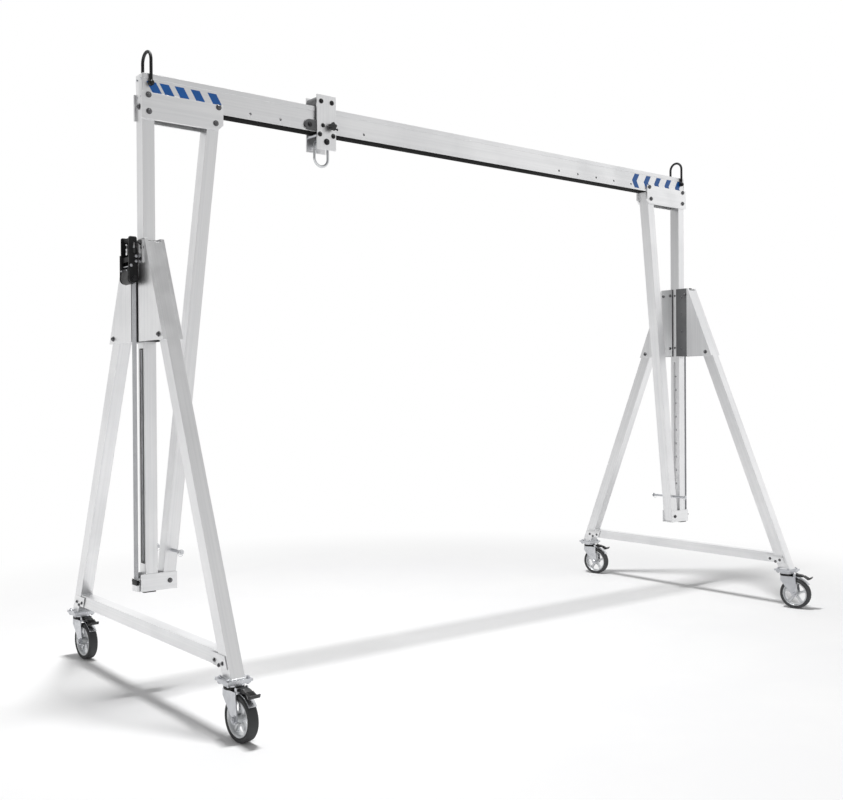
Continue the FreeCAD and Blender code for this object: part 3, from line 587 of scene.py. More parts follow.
def make_hex_bolts():
    """A hex head with its chamfer, washer and threaded end on every point, turned at random."""
    tree, given, out = new_tree("hex_bolts", [
        ("Across Flats", "Float", 0.019), ("Head Height", "Float", 0.008), ("Washer Radius", "Float", 0.016),
        ("Washer Thickness", "Float", 0.002), ("Thread Radius", "Float", 0.005),
        ("Thread Length", "Float", 0.003), ("Seed", "Int", 1), ("Material", "Material", None)])
    height, under, thread = given["Head Height"], given["Washer Thickness"], given["Thread Length"]
    radius = arithmetic(tree, "DIVIDE", given["Across Flats"], math.sqrt(3))
    flat = arithmetic(tree, "MULTIPLY", height, 0.8)
    chamfer = add(tree, "GeometryNodeMeshCone", {
        "Vertices": 6, "Radius Bottom": radius, "Radius Top": arithmetic(tree, "MULTIPLY", radius, 0.82),
        "Depth": arithmetic(tree, "MULTIPLY", height, 0.2)})
    tip = arithmetic(tree, "MULTIPLY_ADD", thread, 0.5, arithmetic(tree, "ADD", height, under))
    bolt = joined(
        tree,
        moved(tree, cylinder(tree, 6, radius, flat), arithmetic(tree, "MULTIPLY_ADD", flat, 0.5, under)),
        moved(tree, chamfer, arithmetic(tree, "ADD", flat, under)),
        moved(tree, cylinder(tree, 28, given["Washer Radius"], under),
              arithmetic(tree, "MULTIPLY", under, 0.5)),
        moved(tree, cylinder(tree, 14, given["Thread Radius"], thread), tip))
    facing = add(tree, "GeometryNodeInputNamedAttribute", {"Name": "facing"}, data_type="FLOAT_VECTOR")
    aligned = add(tree, "FunctionNodeAlignRotationToVector", {"Vector": facing}, axis="Z")
    chance = add(tree, "FunctionNodeRandomValue", {"Max": TAU, "Seed": given["Seed"]}, data_type="FLOAT")
    spin = add(tree, "FunctionNodeAxisAngleToRotation", {"Axis": Z, "Angle": chance.outputs["Value"]})
    turned = add(tree, "FunctionNodeRotateRotation", {"Rotation": aligned, "Rotate By": spin},
                 rotation_space="LOCAL")
    return finish_tree(tree, on_points(tree, given["Geometry"], bolt, Rotation=turned), given, out)


def make_weld_beads():
    """Overlapping drops along every edge, as a stack of weld ripples."""
    tree, given, out = new_tree("weld_beads", [
        ("Drop Radius", "Float", 0.004), ("Pitch", "Float", 0.003), ("Seed", "Int", 1),
        ("Material", "Material", None)])
    curve = add(tree, "GeometryNodeMeshToCurve", {0: given["Geometry"]})
    spread = add(tree, "GeometryNodeResampleCurve", {"Curve": curve, "Length": given["Pitch"]}, mode="LENGTH")
    drop = add(tree, "GeometryNodeMeshIcoSphere", {"Radius": given["Drop Radius"], "Subdivisions": 2})
    size = add(tree, "FunctionNodeRandomValue", {"Min": 0.85, "Max": 1.1, "Seed": given["Seed"]},
               data_type="FLOAT")
    return finish_tree(tree, on_points(tree, spread, drop, Scale=size.outputs[1]), given, out)


def make_ring_of_blocks():
    """Blocks round a circle, each turned to face outwards: ratchet teeth and grip ribs."""
    tree, given, out = new_tree("ring_of_blocks", [
        ("Count", "Int", 16), ("Ring Radius", "Float", 0.02), *BLOCK_SOCKETS])
    ring = add(tree, "GeometryNodeMeshCircle", {"Vertices": given["Count"], "Radius": given["Ring Radius"]})
    shape = add(tree, "GeometryNodeMeshCube", {"Size": given["Block Size"]})
    where = add(tree, "GeometryNodeInputPosition")
    outward = add(tree, "FunctionNodeAlignRotationToVector", {"Vector": where}, axis="X")
    blocks = on_points(tree, ring, shape, Rotation=outward)
    return finish_tree(tree, joined(tree, blocks, given["Geometry"]), given, out)


def make_row_of_blocks():
    """Blocks along a straight row: tread ribs."""
    tree, given, out = new_tree("row_of_blocks", [
        ("Count", "Int", 8), ("Step", "Vector", None), *BLOCK_SOCKETS])
    row = add(tree, "GeometryNodeMeshLine", {"Count": given["Count"], "Offset": given["Step"]})
    shape = add(tree, "GeometryNodeMeshCube", {"Size": given["Block Size"]})
    blocks = on_points(tree, row, shape)
    return finish_tree(tree, joined(tree, blocks, given["Geometry"]), given, out)


HEX_BOLTS, WELD_BEADS = make_hex_bolts(), make_weld_beads()
RING_OF_BLOCKS, ROW_OF_BLOCKS = make_ring_of_blocks(), make_row_of_blocks()


def grow(tree, seed_data, material, **values):
    """Runs a tree on mesh data and returns the plain mesh; value names use _ for a space."""
    holder = put("seed", seed_data)
    modifier = holder.modifiers.new("tree", "NODES")
    modifier.node_group = tree
    sockets = {item.name: item.identifier for item in tree.interface.items_tree if item.in_out == "INPUT"}
    for key, value in dict(values, Material=MATERIALS[material]).items():
        modifier[sockets[key.replace("_", " ")]] = value
    graph = bpy.context.evaluated_depsgraph_get()
    data = bpy.data.meshes.new_from_object(holder.evaluated_get(graph))
    holder.modifiers.remove(modifier)
    bpy.data.objects.remove(holder)
    return data


def seed_points(places):
    """Mesh data of loose points, each with the way it faces."""
    data = bpy.data.meshes.new("points")
    data.from_pydata([tuple(p) for p, _ in places], [], [])
    facing = data.attributes.new("facing", "FLOAT_VECTOR", "POINT")
    for row, (_, way) in zip(facing.data, places):
        row.vector = way
    return data


def bolts(name, body, places, across, material="dull_bolt", thread=3 * MM, seed=1):
    """A set of hex bolts on one body; every other size follows the hexagon's."""
    data = grow(HEX_BOLTS, seed_points(places), material, Across_Flats=across, Head_Height=0.42 * across,
                Washer_Radius=0.8 * across, Washer_Thickness=0.1 * across, Thread_Radius=0.28 * across,
                Thread_Length=thread, Seed=seed)
    return piece_from_data(name, data, body, material)


def weld(name, body, runs, radius, seed=1):
    """Weld beads along runs of points on one body."""
    points, edges = [], []
    for run in runs:
        first = len(points)
        points += [tuple(p) for p in run]
        edges += [(first + i, first + i + 1) for i in range(len(run) - 1)]
    data = bpy.data.meshes.new("runs")
    data.from_pydata(points, edges, [])
    made = grow(WELD_BEADS, data, "weld", Drop_Radius=radius, Pitch=0.7 * radius, Seed=seed)
    return piece_from_data(name, made, body, "weld", sharp=80)


# --- beam ---

CHEVRON_HALF, CHEVRON_STROKE, CHEVRON_RUN = 50 * MM, 50 * MM, 30 * MM
CHEVRONS = {"left": ((2, 70, 151, 238, 332), 52 * MM), "right": ((6, 128, 246, 362, 490), 62 * MM)}


def make_chevrons():
    """Five arrow marks at each end of the web, pointing to the beam's middle."""
    half, run = CHEVRON_HALF, CHEVRON_RUN
    for end, way in ENDS:
        starts, middle = CHEVRONS[end]
        mesh = bmesh.new()
        for start in starts:
            first, last = start * MM, start * MM + CHEVRON_STROKE
            outline = [(first, half), (last, half), (last + run, 0), (last, -half), (first, -half),
                       (first + run, 0)]
            for _, side in SIDES:
                join_into(mesh, prism(outline, 0.3 * MM),
                          upright(way * PLANE, side * WEB_FACE, BEAM_LOW.z + middle, -way, side))
        piece(end + "_chevrons", mesh, "upper_frame", "blue_vinyl")


def make_beam_details():
    """End plates with their screws, and a black strip under the beam that paints the shade of its underside.
    """
    plate, margin, screw_in = 3 * MM, 1.5 * MM, 26 * MM
    for end, way in ENDS:
        tip = way * BEAM_HIGH.x
        mesh = block((tip, BEAM_LOW.y + margin, BEAM_LOW.z + margin),
                     (tip + way * plate, BEAM_HIGH.y - margin, BEAM_HIGH.z - margin), 1 * MM)
        piece(end + "_beam_end_plate", mesh, "upper_frame", "plate_up")
        screws = [((tip + way * plate, side * 24 * MM, z), (way, 0, 0))
                  for _, side in SIDES for z in (BEAM_LOW.z + screw_in, BEAM_HIGH.z - screw_in)]
        bolts(end + "_end_plate_screws", "upper_frame", screws, 8 * MM, "zinc", 0.5 * MM)
    # The near-black strip under the beam is painted shade for its underside.
    strip = block((-BEAM_HIGH.x + 2 * MM, BEAM_LOW.y + 0.6 * MM, BEAM_LOW.z - 2 * MM),
                  (BEAM_HIGH.x - 2 * MM, BEAM_HIGH.y - 0.6 * MM, BEAM_LOW.z + 0.5 * MM), 0.4 * MM)
    piece("beam_painted_shade_strip", strip, "upper_frame", "wear_strip")


def make_frame_bolts():
    """Through bolts of the yokes, loops, uprights and bottom brackets."""
    yoke, loops, bracket, small = [], [], [], []
    for _, way in ENDS:
        for _, side in SIDES:
            out, loop_x = (0, side, 0), way * (LOOP_LOW.x + LOOP_HIGH.x) / 2
            yoke += [((way * (PLANE - x), side * YOKE_HIGH.y, BEAM_LOW.z + z), out)
                     for x, z in mm((8, 33), (10, -48), (390, 33), (373, -51))]
            loops.append(((loop_x, side * LOOP_HIGH.y, LOOP_LOW.z + 14 * MM), out))
            bracket.append(((way * (PLANE - 104 * MM), side * BRACKET_HIGH.y, BRACKET_LOW.z + 42 * MM), out))
        yoke.append(((way * POST_HIGH.x, 0, BEAM_LOW.z - 20 * MM), (way, 0, 0)))
        small += [((way * POST_LOW.x, 0, z), (-way, 0, 0))
                  for z in (HEAD_LOW.z + 64 * MM, HEAD_HIGH.z - 48 * MM)]
    bolts("yoke_bolts", "upper_frame", yoke, 19 * MM)
    bolts("loop_nuts", "upper_frame", loops, 17 * MM, "black_bolt", 2 * MM, seed=2)
    bolts("bracket_bolts", "upper_frame", bracket, 16 * MM, seed=3)
    bolts("upright_screws", "upper_frame", small, 10 * MM, thread=0.5 * MM, seed=4)


def make_slot_shade_strips():
    """Black strips round the slots of the uprights, which paint the shade in the slots, and the pads under
    the bottom brackets.
    """
    low, high, half, lip, thick = 650 * MM, 1700 * MM, 13 * MM, 8 * MM, 1.4 * MM
    pad_x, pad_y, pad_deep = 32 * MM, 38 * MM, 7 * MM
    for end, way in ENDS:
        mesh = bmesh.new()
        face, proud = way * POST_HIGH.x, way * (POST_HIGH.x + thick)
        for _, side in SIDES:
            join_into(mesh, block((face, side * half, low - lip),
                                  (proud, side * (half + lip), high + lip), 0.5 * MM))
        for z in (low - lip, high):
            join_into(mesh, block((face, -half, z), (proud, half, z + lip), 0.5 * MM))
        # These black strips are painted shade that widens the dark of the slots.
        piece(end + "_slot_shade_strip", mesh, "upper_frame", "plastic")
        pad = block((way * (PLANE + pad_x), -pad_y, BRACKET_LOW.z - pad_deep),
                    (way * (PLANE - pad_x), pad_y, BRACKET_LOW.z + 0.5 * MM), 1.5 * MM)
        piece(end + "_bracket_pad", pad, "upper_frame", "plastic")


def make_cross_pin_ends():
    """A flanged head and a split ring on each end of the cross pins."""
    x, z = (PIN_LOW.x + PIN_HIGH.x) / 2, (PIN_LOW.z + PIN_HIGH.z) / 2
    head = mm((8, 0), (13, 0), (14, 1), (14, 6), (13, 7), (0, 7))
    turn = [TAU * i / 28 for i in range(28)]
    for end, way in ENDS:
        mesh = bmesh.new()
        for _, side in SIDES:
            join_into(mesh, lathe(head), basis((way * x, side * (PIN_HIGH.y - 9 * MM), z), (0, side, 0)))
            middle = Vector((way * x, side * (PIN_HIGH.y - 16 * MM), z - 9 * MM))
            ring = [middle + Vector((math.cos(a), 0.25 * math.sin(a), math.sin(a))) * 13 * MM for a in turn]
            join_into(mesh, tube(ring, 1.3 * MM, 8, closed=True))
        piece(end + "_cross_pin_heads", mesh, "upper_frame", "bright_steel")


# --- straps and winches ---

def make_straps():
    """Webbing from each winch drum down to the bottom bracket, and the clamp at its foot."""
    low, high = STRAP_LOW, STRAP_HIGH
    half, thick, length = (high.y - low.y) / 2, high.x - low.x, high.z - low.z
    rows = 90
    section = [(0.15, -1), (0, -0.985), (0, 0.985), (0.15, 1),
               (0.85, 1), (1, 0.985), (1, -0.985), (0.85, -1)]
    for end, way in ENDS:
        mesh = bmesh.new()
        rings = [[mesh.verts.new((way * (low.x + thick * u), half * v, low.z + length * i / rows))
                  for u, v in section] for i in range(rows + 1)]
        sheathe(mesh, rings, False, True)
        strap = piece(end + "_strap_webbing", mesh, end + "_a_frame", "webbing", (end + "_strap",))
        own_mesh(strap)
        clamp = block((way * (low.x - 4 * MM), -31 * MM, low.z - 30 * MM),
                      (way * (BRACKET_HIGH.x + 2 * MM), 31 * MM, low.z - 0.5 * MM), 2 * MM)
        rod = [Vector((way * (high.x + 1 * MM), y, low.z - 12 * MM)) for y in (-38 * MM, 38 * MM)]
        piece(end + "_strap_clamp", join_into(clamp, tube(rod, 5 * MM, 20)), "upper_frame", "black_coat")


def drum_profile():
    """Half the outline of the drum: flanges with the wound webbing between them."""
    flange, half = 25 * MM, 31 * MM
    points = [(8 * MM, -half), (flange - 1 * MM, -half), (flange, -half + 1 * MM),
              (flange, -half + 2.4 * MM), (flange - 1 * MM, -half + 3.2 * MM)]
    return both_ways(points + [(DRUM_RADIUS, -half + 3.4 * MM)])


def make_winches():
    """Drum, ratchet wheels, guard, nuts, screws, pawls and lever of each winch."""
    cheek = WINCH_HIGH.y
    for end, way in ENDS:
        body = end + "_a_frame"
        centre = Vector((way * DRUM_X, 0, DRUM_Z))
        drum = join_into(bmesh.new(), lathe(drum_profile()), basis(centre, Y))
        # The drum's near-black webbing colour is painted shade.
        piece(end + "_winch_drum", drum, body, "wound_webbing_painted_shade")
        for name, side in SIDES:
            wheel = lathe(mm((8, -2), (19, -2), (19, 2), (8, 2)), 32, closed=True)
            data = grow(RING_OF_BLOCKS, to_data(wheel), "zinc", Count=16, Ring_Radius=20 * MM,
                        Block_Size=(6 * MM, 3.4 * MM, 4 * MM))
            data.transform(basis(centre + Y * side * RATCHET_Y, Y))
            piece_from_data(f"{end}_{name}_ratchet", data, body, "zinc")
        make_guard(end, way, body, centre)
        nuts = [(centre + Y * side * cheek, (0, side, 0)) for _, side in SIDES]
        bolts(end + "_winch_nuts", body, nuts, 20 * MM, "black_bolt", seed=5)
        screws = [((way * (WINCH_LOW.x + x), side * cheek, DRUM_Z + z), (0, side, 0))
                  for _, side in SIDES for x, z in mm((10, 108), (10, 84), (36, 62))]
        bolts(end + "_winch_screws", body, screws, 9 * MM, "zinc", 0.5 * MM, seed=6)
        mounting = [((way * OUTER_HIGH.x, y, WINCH_HIGH.z + z), (way, 0, 0))
                    for y, z in mm((-90, -26), (-90, 50), (90, -26), (90, 50))]
        bolts(end + "_bridge_bolts", body, mounting, 13 * MM, "black_bolt", seed=7)
        make_pawls(end, way, body, centre)
        make_lever(end, way, centre)


def make_guard(end, way, body, centre):
    """The curved guard over the drum's outer side, between the lever's plates."""
    outer, inner = 27 * MM, 25.4 * MM
    curve = arc((0, 0), outer, 178, 268, 16) + arc((0, 0), inner, 268, 178, 16)
    wall = [(-outer, 0), (-inner, 0), (-21 * MM, 46 * MM), (-23 * MM, 46 * MM)]
    shell = bmesh.new()
    for outline in (curve, wall):
        join_into(shell, prism(outline, 2 * WINCH_INSIDE), upright(centre.x, -WINCH_INSIDE, centre.z, -way))
    piece(end + "_winch_guard", shell, body, "black_coat")


def make_pawls(end, way, body, centre):
    """Inner brackets from the back plate, their tie bars, and the pawls on the outer bar."""
    steel, plates = bmesh.new(), bmesh.new()
    for x, z, radius in mm((-18, 40, 4), (8, 58, 4), (-14, 60, 3)):
        at = centre + Vector((-way * x, 0, z))
        join_into(steel, tube([at - Y * WINCH_INSIDE, at + Y * WINCH_INSIDE], radius, 18))
    pawl = mm((-7, 0), (0, -7), (7, 0), (4, 12), (-2, 15))
    bracket = mm((16, 26), (16, 70), (-16, 68), (-23, 60), (-23, 36), (-14, 26))
    for _, side in SIDES:
        at = centre + Vector((way * 18 * MM, side * RATCHET_Y - 2 * MM, 40 * MM))
        join_into(steel, prism(pawl, 4 * MM, 0.8 * MM), basis(at, Y, -Z))
        join_into(plates, prism(bracket, 2.5 * MM, 0.6 * MM),
                  upright(centre.x, side * (WINCH_INSIDE - 1.25 * MM) - 1.25 * MM, centre.z, -way))
    piece(end + "_winch_pawls", steel, body, "zinc")
    piece(end + "_pawl_brackets", plates, body, "black_coat")


def lever_side(reach):
    """Outline of the lever's side plate from its eye up to the grip, round the shaft's axis."""
    wide, corner, front = 18 * MM, 9 * MM, 24 * MM
    outline = arc((0, 0), wide, 180, 360, 20)
    outline += arc((wide - corner, reach - corner), corner, 0, 90, 6)
    outline += arc((-front + corner, reach - corner), corner, 90, 180, 6)
    return outline + [(-front, 0.3 * reach)]


def side_plate(outline, holes, thickness):
    """A plate with round-ended holes, filled from its outlines and thickened both ways."""
    mesh = bmesh.new()
    edges = []
    for loop in (outline, *holes):
        points = [mesh.verts.new((x, y, 0)) for x, y in loop]
        edges += [mesh.edges.new((points[i - 1], points[i])) for i in range(len(points))]
    filled = bmesh.ops.triangle_fill(mesh, edges=edges, use_beauty=True, use_dissolve=False)
    faces = [f for f in filled["geom"] if isinstance(f, bmesh.types.BMFace)]
    grown = bmesh.ops.extrude_face_region(mesh, geom=faces)
    tops = [v for v in grown["geom"] if isinstance(v, bmesh.types.BMVert)]
    bmesh.ops.translate(mesh, verts=tops, vec=(0, 0, thickness))
    bmesh.ops.translate(mesh, verts=mesh.verts, vec=(0, 0, -thickness / 2))
    bmesh.ops.recalc_face_normals(mesh, faces=mesh.faces)
    return mesh


def slot_outline(x, low, high, radius):
    """A round-ended slot standing along local Y."""
    return arc((x, low), radius, 180, 360, 8) + arc((x, high), radius, 0, 180, 8)


def make_lever(end, way, centre):
    """The winch's pressed lever: slotted side plates, webs between them and a ribbed grip."""
    half, reach, web = LEVER_HIGH.y - 3 * MM, LEVER_HIGH.z - DRUM_Z, 4 * MM
    body = end + "_winch_handle"
    holes = [arc((0, 0), 8.2 * MM, 0, 350, 30), slot_outline(4 * MM, 0.62 * reach, 0.84 * reach, 5 * MM),
             slot_outline(-6 * MM, 0.34 * reach, 0.42 * reach, 4 * MM)]
    mesh = bmesh.new()
    for _, side in SIDES:
        join_into(mesh, side_plate(lever_side(reach), holes, 5 * MM),
                  upright(centre.x, side * half, centre.z, -way))
    for out, low, high in ((-15 * MM, 0.36, 0.74), (12 * MM, 0.40, 0.52)):
        x = centre.x + way * out
        join_into(mesh, block((x, -half, centre.z + low * reach),
                              (x + way * web, half, centre.z + high * reach), 1 * MM))
    piece(end + "_lever_plates", mesh, body, "black_coat", (end + "_winch_lever",))
    core = lathe([(0, -half), (10 * MM, -half), (10 * MM, half), (0, half)], 28)
    data = grow(RING_OF_BLOCKS, to_data(core), "grip", Count=18, Ring_Radius=10 * MM,
                Block_Size=(1.6 * MM, 1.6 * MM, 1.7 * half))
    data.transform(basis(Vector((centre.x, 0, LEVER_HIGH.z - 13 * MM)), Y))
    piece_from_data(end + "_lever_grip", data, body, "grip")


# --- A-frames ---

def make_head_bolts():
    """Bolts through the legs and both head plates, and the heads of the guide strips' screws."""
    for end, way in ENDS:
        body, places = end + "_a_frame", []
        for _, side in SIDES:
            for z in (HEAD_LOW.z + 26 * MM, HEAD_HIGH.z - 45 * MM):
                y = side * leg_centre(z)
                places += [((way * HEAD_LOW.x, y, z), (-way, 0, 0)),
                           ((way * (OUTER_HIGH.x - 6 * MM), y, z), (way, 0, 0))]
        screws = [((way * GUIDE_LOW.x, -66 * MM, HEAD_LOW.z + z * MM), (-way, 0, 0))
                  for z in (60, 185, 315, 440)]
        bolts(end + "_head_bolts", body, places, 17 * MM, seed=8)
        bolts(end + "_guide_screws", body, screws, 9 * MM, thread=0.5 * MM, seed=9)


def make_cover_plates():
    """A thin plate over the back guide strip of each head, with its four screws; its darker grey is painted
    shade.
    """
    face, thick, wide, gap = GUIDE_LOW.x, 2 * MM, 93 * MM, 1 * MM
    for end, way in ENDS:
        body = end + "_a_frame"
        plate = block((way * face, GUIDE_HIGH.y - gap - wide, HEAD_LOW.z + gap),
                      (way * (face - thick), GUIDE_HIGH.y - gap, HEAD_HIGH.z - gap), 0.7 * MM)
        piece(end + "_cover_plate", plate, body, "plate_painted_shade")
        places = [((way * (face - thick), y, HEAD_LOW.z + z), (-way, 0, 0))
                  for y, z in mm((98, 455), (34, 455), (36, 60), (98, 60))]
        bolts(end + "_cover_bolts", body, places, 14 * MM, thread=1 * MM, seed=18)


def make_feet():
    """Castor bolts, leg welds and rail gussets at all four feet."""
    leg_half = (LEG_HIGH.x - LEG_LOW.x) / 2
    foot_half = LEG_ACROSS / math.cos(LEG_LEAN) / 2
    rail_half = (RAIL_HIGH.x - RAIL_LOW.x) / 2
    plate_low = FOOT_HIGH.z - 20 * MM
    for end, way in ENDS:
        body, mid_x = end + "_a_frame", way * PLANE
        heads, nuts, runs, small = [], [], [], []
        gussets = bmesh.new()
        for _, side in SIDES:
            mid_y = side * FOOT_MID
            for x, y in mm((-47, -38), (-47, 38), (47, -38), (47, 38)):
                at = Vector((mid_x + x, mid_y + y, 0))
                heads.append((at + Z * FOOT_HIGH.z, (0, 0, 1)))
                nuts.append((at + Z * plate_low, (0, 0, -1)))
            runs.append([(mid_x + leg_half * u, mid_y + foot_half * v, FOOT_HIGH.z + 1 * MM)
                         for u, v in ((-1, -1), (1, -1), (1, 1), (-1, 1), (-1, -1))])
            for z in (RAIL_LOW.z, RAIL_HIGH.z):
                y = side * (leg_centre(z) - foot_half - 0.5 * MM)
                runs.append([(mid_x - rail_half, y, z), (mid_x + rail_half, y, z)])
            make_gusset(gussets, small, mid_x, side, leg_half)
        bolts(end + "_castor_bolts", body, heads, 15 * MM, "zinc", seed=10)
        bolts(end + "_castor_nuts", body, nuts, 13 * MM, "zinc", 0.3 * MM, seed=11)
        bolts(end + "_gusset_bolts", body, small, 12 * MM, thread=1 * MM, seed=12)
        weld(end + "_welds", body, runs, 3.6 * MM, seed=13)
        piece(end + "_rail_gussets", gussets, body, "plate_across")


def make_gusset(mesh, places, mid_x, side, leg_half):
    """A plate over the joint of the rail and a leg, on both faces of the leg, with its three bolts."""
    thick, outer, inner = 4 * MM, 24 * MM, 104 * MM
    low, high = RAIL_LOW.z + 1 * MM, RAIL_HIGH.z - 8 * MM
    outline = [(leg_centre(z) + reach, z)
               for z, reach in ((low, outer), (high, outer), (high, -inner), (low, -inner))]
    for face in (-1, 1):
        plate = prism([(side * y, z) for y, z in outline], thick, 1 * MM)
        start = mid_x + face * leg_half + (0 if face > 0 else -thick)
        join_into(mesh, plate, Matrix(((0, 0, 1, start), (1, 0, 0, 0), (0, 1, 0, 0), (0, 0, 0, 1))))
        for y, z in mm((-8, 20), (-82, 22), (-46, 7)):
            places.append(((mid_x + face * (leg_half + thick), side * (leg_centre(low + z) + y), low + z),
                           (face, 0, 0)))


# --- trolley ---

def make_trolley():
    """Axle and tie bolt heads, the roller caps, the lock arms and the lobed knob."""
    face = TROLLEY_HIGH.y
    roller_z = (ROLLER_LOW.z + ROLLER_HIGH.z) / 2
    roller_x = (ROLLER_HIGH.x - ROLLER_LOW.x) / 2 - (ROLLER_HIGH.z - ROLLER_LOW.z) / 2
    tie_x, tie_z = (CROSS_HIGH.x - CROSS_LOW.x) / 2 - 14 * MM, CROSS_HIGH.z - 8 * MM
    heads, small, pins = [], [], []
    caps = bmesh.new()
    profile = mm((8, 0), (26, 0), (26, 1.4), (22, 2.2), (8, 2.2))
    for _, side in SIDES:
        out = (0, side, 0)
        for k in (-1, 1):
            heads += [((TROLLEY_X + k * x, side * face, z), out)
                      for x, z in ((roller_x, roller_z), (tie_x, tie_z))]
        small.append(((TROLLEY_X - 24 * MM, side * face, BEAM_LOW.z + 38 * MM), out))
        pins.append(((TROLLEY_X, side * face, CROSS_LOW.z + 10 * MM), out))
    for k in (-1, 1):
        for _, side in SIDES:
            at = (TROLLEY_X + k * roller_x, side * (ROLLER_HIGH.y - 2.6 * MM), roller_z)
            join_into(caps, lathe(profile, 40, closed=True), basis(at, (0, side, 0)))
    bolts("trolley_bolts", "trolley", heads, 17 * MM, "black_bolt", seed=14)
    bolts("trolley_small_bolts", "trolley", small, 15 * MM, "black_bolt", seed=15)
    bolts("shackle_pin_nuts", "trolley", pins, 22 * MM, "black_bolt", seed=16)
    make_lock_arms(face - 13.5 * MM)
    make_knob()
    piece("roller_caps", caps, "trolley", "bright_steel")


def make_lock_arms(inner):
    """A rounded arm beside the beam on each side of the trolley, with its bolt."""
    mesh, places = bmesh.new(), []
    z, radius, thick = BEAM_LOW.z + 33 * MM, 30 * MM, 5 * MM
    for _, side in SIDES:
        start, tip = TROLLEY_X + side * 20 * MM, TROLLEY_X + side * 104 * MM
        facing = 0 if side > 0 else 180
        outline = arc((tip, z), radius, facing - 90, facing + 90, 16)
        outline += [(start, z + side * radius), (start, z - side * radius)]
        join_into(mesh, prism(outline, thick, 1.2 * MM), upright(y=side * inner, out=side))
        places.append(((tip, side * (inner + thick), z), (0, side, 0)))
    piece("trolley_lock_arms", mesh, "trolley", "guide")
    bolts("lock_arm_bolts", "trolley", places, 17 * MM, "black_bolt", 1 * MM, seed=17)


def make_knob():
    """A five-lobed clamping knob on a stepped collar."""
    radius, length = (KNOB_HIGH.z - KNOB_LOW.z) / 2, KNOB_HIGH.y - KNOB_LOW.y
    steps, lobes, wave = 80, 5, 3 * MM
    outline = []
    for i in range(steps):
        a = TAU * i / steps
        r = radius - wave + wave * math.cos(lobes * a)
        outline.append((r * math.cos(a), r * math.sin(a)))
    mesh = join_into(bmesh.new(), prism(outline, length * 0.55, 2.5 * MM),
                     Matrix.Translation((0, 0, length * 0.42)))
    collar_top, cap_low = length * 0.5, length * 0.9
    join_into(mesh, lathe([(0, 0), *mm((13, 0), (13, 4), (10, 5)), (10 * MM, collar_top), (0, collar_top)]))
    join_into(mesh, lathe([(0, cap_low), (9 * MM, cap_low), (8 * MM, length), (0, length)]))
    place = basis(((KNOB_LOW.x + KNOB_HIGH.x) / 2, KNOB_HIGH.y, (KNOB_LOW.z + KNOB_HIGH.z) / 2), -Y)
    whole = join_into(bmesh.new(), mesh, place)
    piece("trolley_clamp_knob", whole, "trolley", "plastic", ("trolley_knob",))


# --- castors ---

def tyre_mesh():
    """A tyre with rounded shoulders and a shallow groove in each wall, round local Z."""
    half = WHEEL_WIDTH / 2 / MM
    wall = mm((80, half - 4), (82, half - 2.5), (86, half - 1), (87, half - 2), (88.5, half - 2),
              (89.5, half - 0.6), (92, half - 0.4))
    shoulder = arc((93 * MM, (half - 7) * MM), 6.6 * MM, 80, 15, 6)
    crown = mm((99.7, half - 8), (100, half - 14))
    return lathe(both_ways(wall + shoulder + crown), 96, closed=True)


def hub_mesh():
    """A cast five-spoke hub: rim, boss and tapered spokes, round local Z."""
    half, outer, spokes = WHEEL_WIDTH / 2 / MM - 3, 80, 5
    rim = mm((outer - 0.3, half), (outer - 4, half), (outer - 9, half - 6), (outer - 10, half - 12))
    boss = mm((8.1, 29), (17, 29), (18, 27), (22, 14), (23, 8))
    mesh = join_into(lathe(both_ways(rim), 80, closed=True), lathe(both_ways(boss), 48, closed=True))
    outline = mm((20, -11), (40, -7.5), (58, -8), (71, -14), (71, 14), (58, 8), (40, 7.5), (20, 11))
    for i in range(spokes):
        place = Matrix.Rotation(TAU * i / spokes, 4, "Z") @ Matrix.Translation((0, 0, -10 * MM))
        join_into(mesh, prism(outline, 20 * MM, 3 * MM), place)
    return mesh


def pedal_mesh():
    """The brake pedal in castor coordinates: barrel, swept stem and an upturned, broad tread."""
    thick = 6 * MM
    line = [(-4, 229), (14, 230), (38, 229), (56, 222), (74, 212), (88, 204), (97, 206), (106, 220)]
    widths = [17, 18, 18, 19, 24, 28, 28, 26]
    mesh = bmesh.new()
    rings = []
    for i, ((x, z), width) in enumerate(zip(line, widths)):
        before, after = line[max(i - 1, 0)], line[min(i + 1, len(line) - 1)]
        slope = Vector((after[0] - before[0], 0, after[1] - before[1])).normalized()
        up = Vector((-slope.z, 0, slope.x)) * thick / 2
        at, side = Vector((60 + x, 0, z)) * MM, Y * width * MM
        corners = (at - side - up, at + side - up, at + side + up, at - side + up)
        rings.append([mesh.verts.new(corner) for corner in corners])
    sheathe(mesh, rings, False, True)
    bevel_sharp(mesh, 1.6 * MM, 40)
    wall = mm((70, 230), (70, 216), (96, 214), (116, 217), (116, 223), (98, 229))
    for _, side in SIDES:
        join_into(mesh, prism(wall, 2.5 * MM, 0.7 * MM), upright(y=side * 16 * MM - 1.25 * MM))
    barrel = mm((4.1, -24), (6.4, -24), (7, -23), (7, 23), (6.4, 24), (4.1, 24))
    return join_into(mesh, lathe(barrel, 28, closed=True), basis(PEDAL_PIVOT, Y))


def pedal_ribs():
    """Grip ribs across the pedal's tread, in castor coordinates."""
    data = grow(ROW_OF_BLOCKS, bpy.data.meshes.new("none"), "plastic", Count=5,
                Step=(6.4 * MM, 0, -3.4 * MM), Block_Size=(2.2 * MM, 46 * MM, 2.6 * MM))
    data.transform(Matrix.Translation((120 * MM, 0, 224 * MM)))
    return data


def brake_shoe():
    """The curved brake plate over the trailing side of the tyre, in castor coordinates."""
    axle, half = (TRAIL, WHEEL_RADIUS), 20 * MM
    outline = arc(axle, 112.2 * MM, 88, 36, 20) + arc(axle, 109.7 * MM, 36, 88, 20)
    return join_into(bmesh.new(), prism(outline, 2 * half, 0.8 * MM), upright(y=-half))


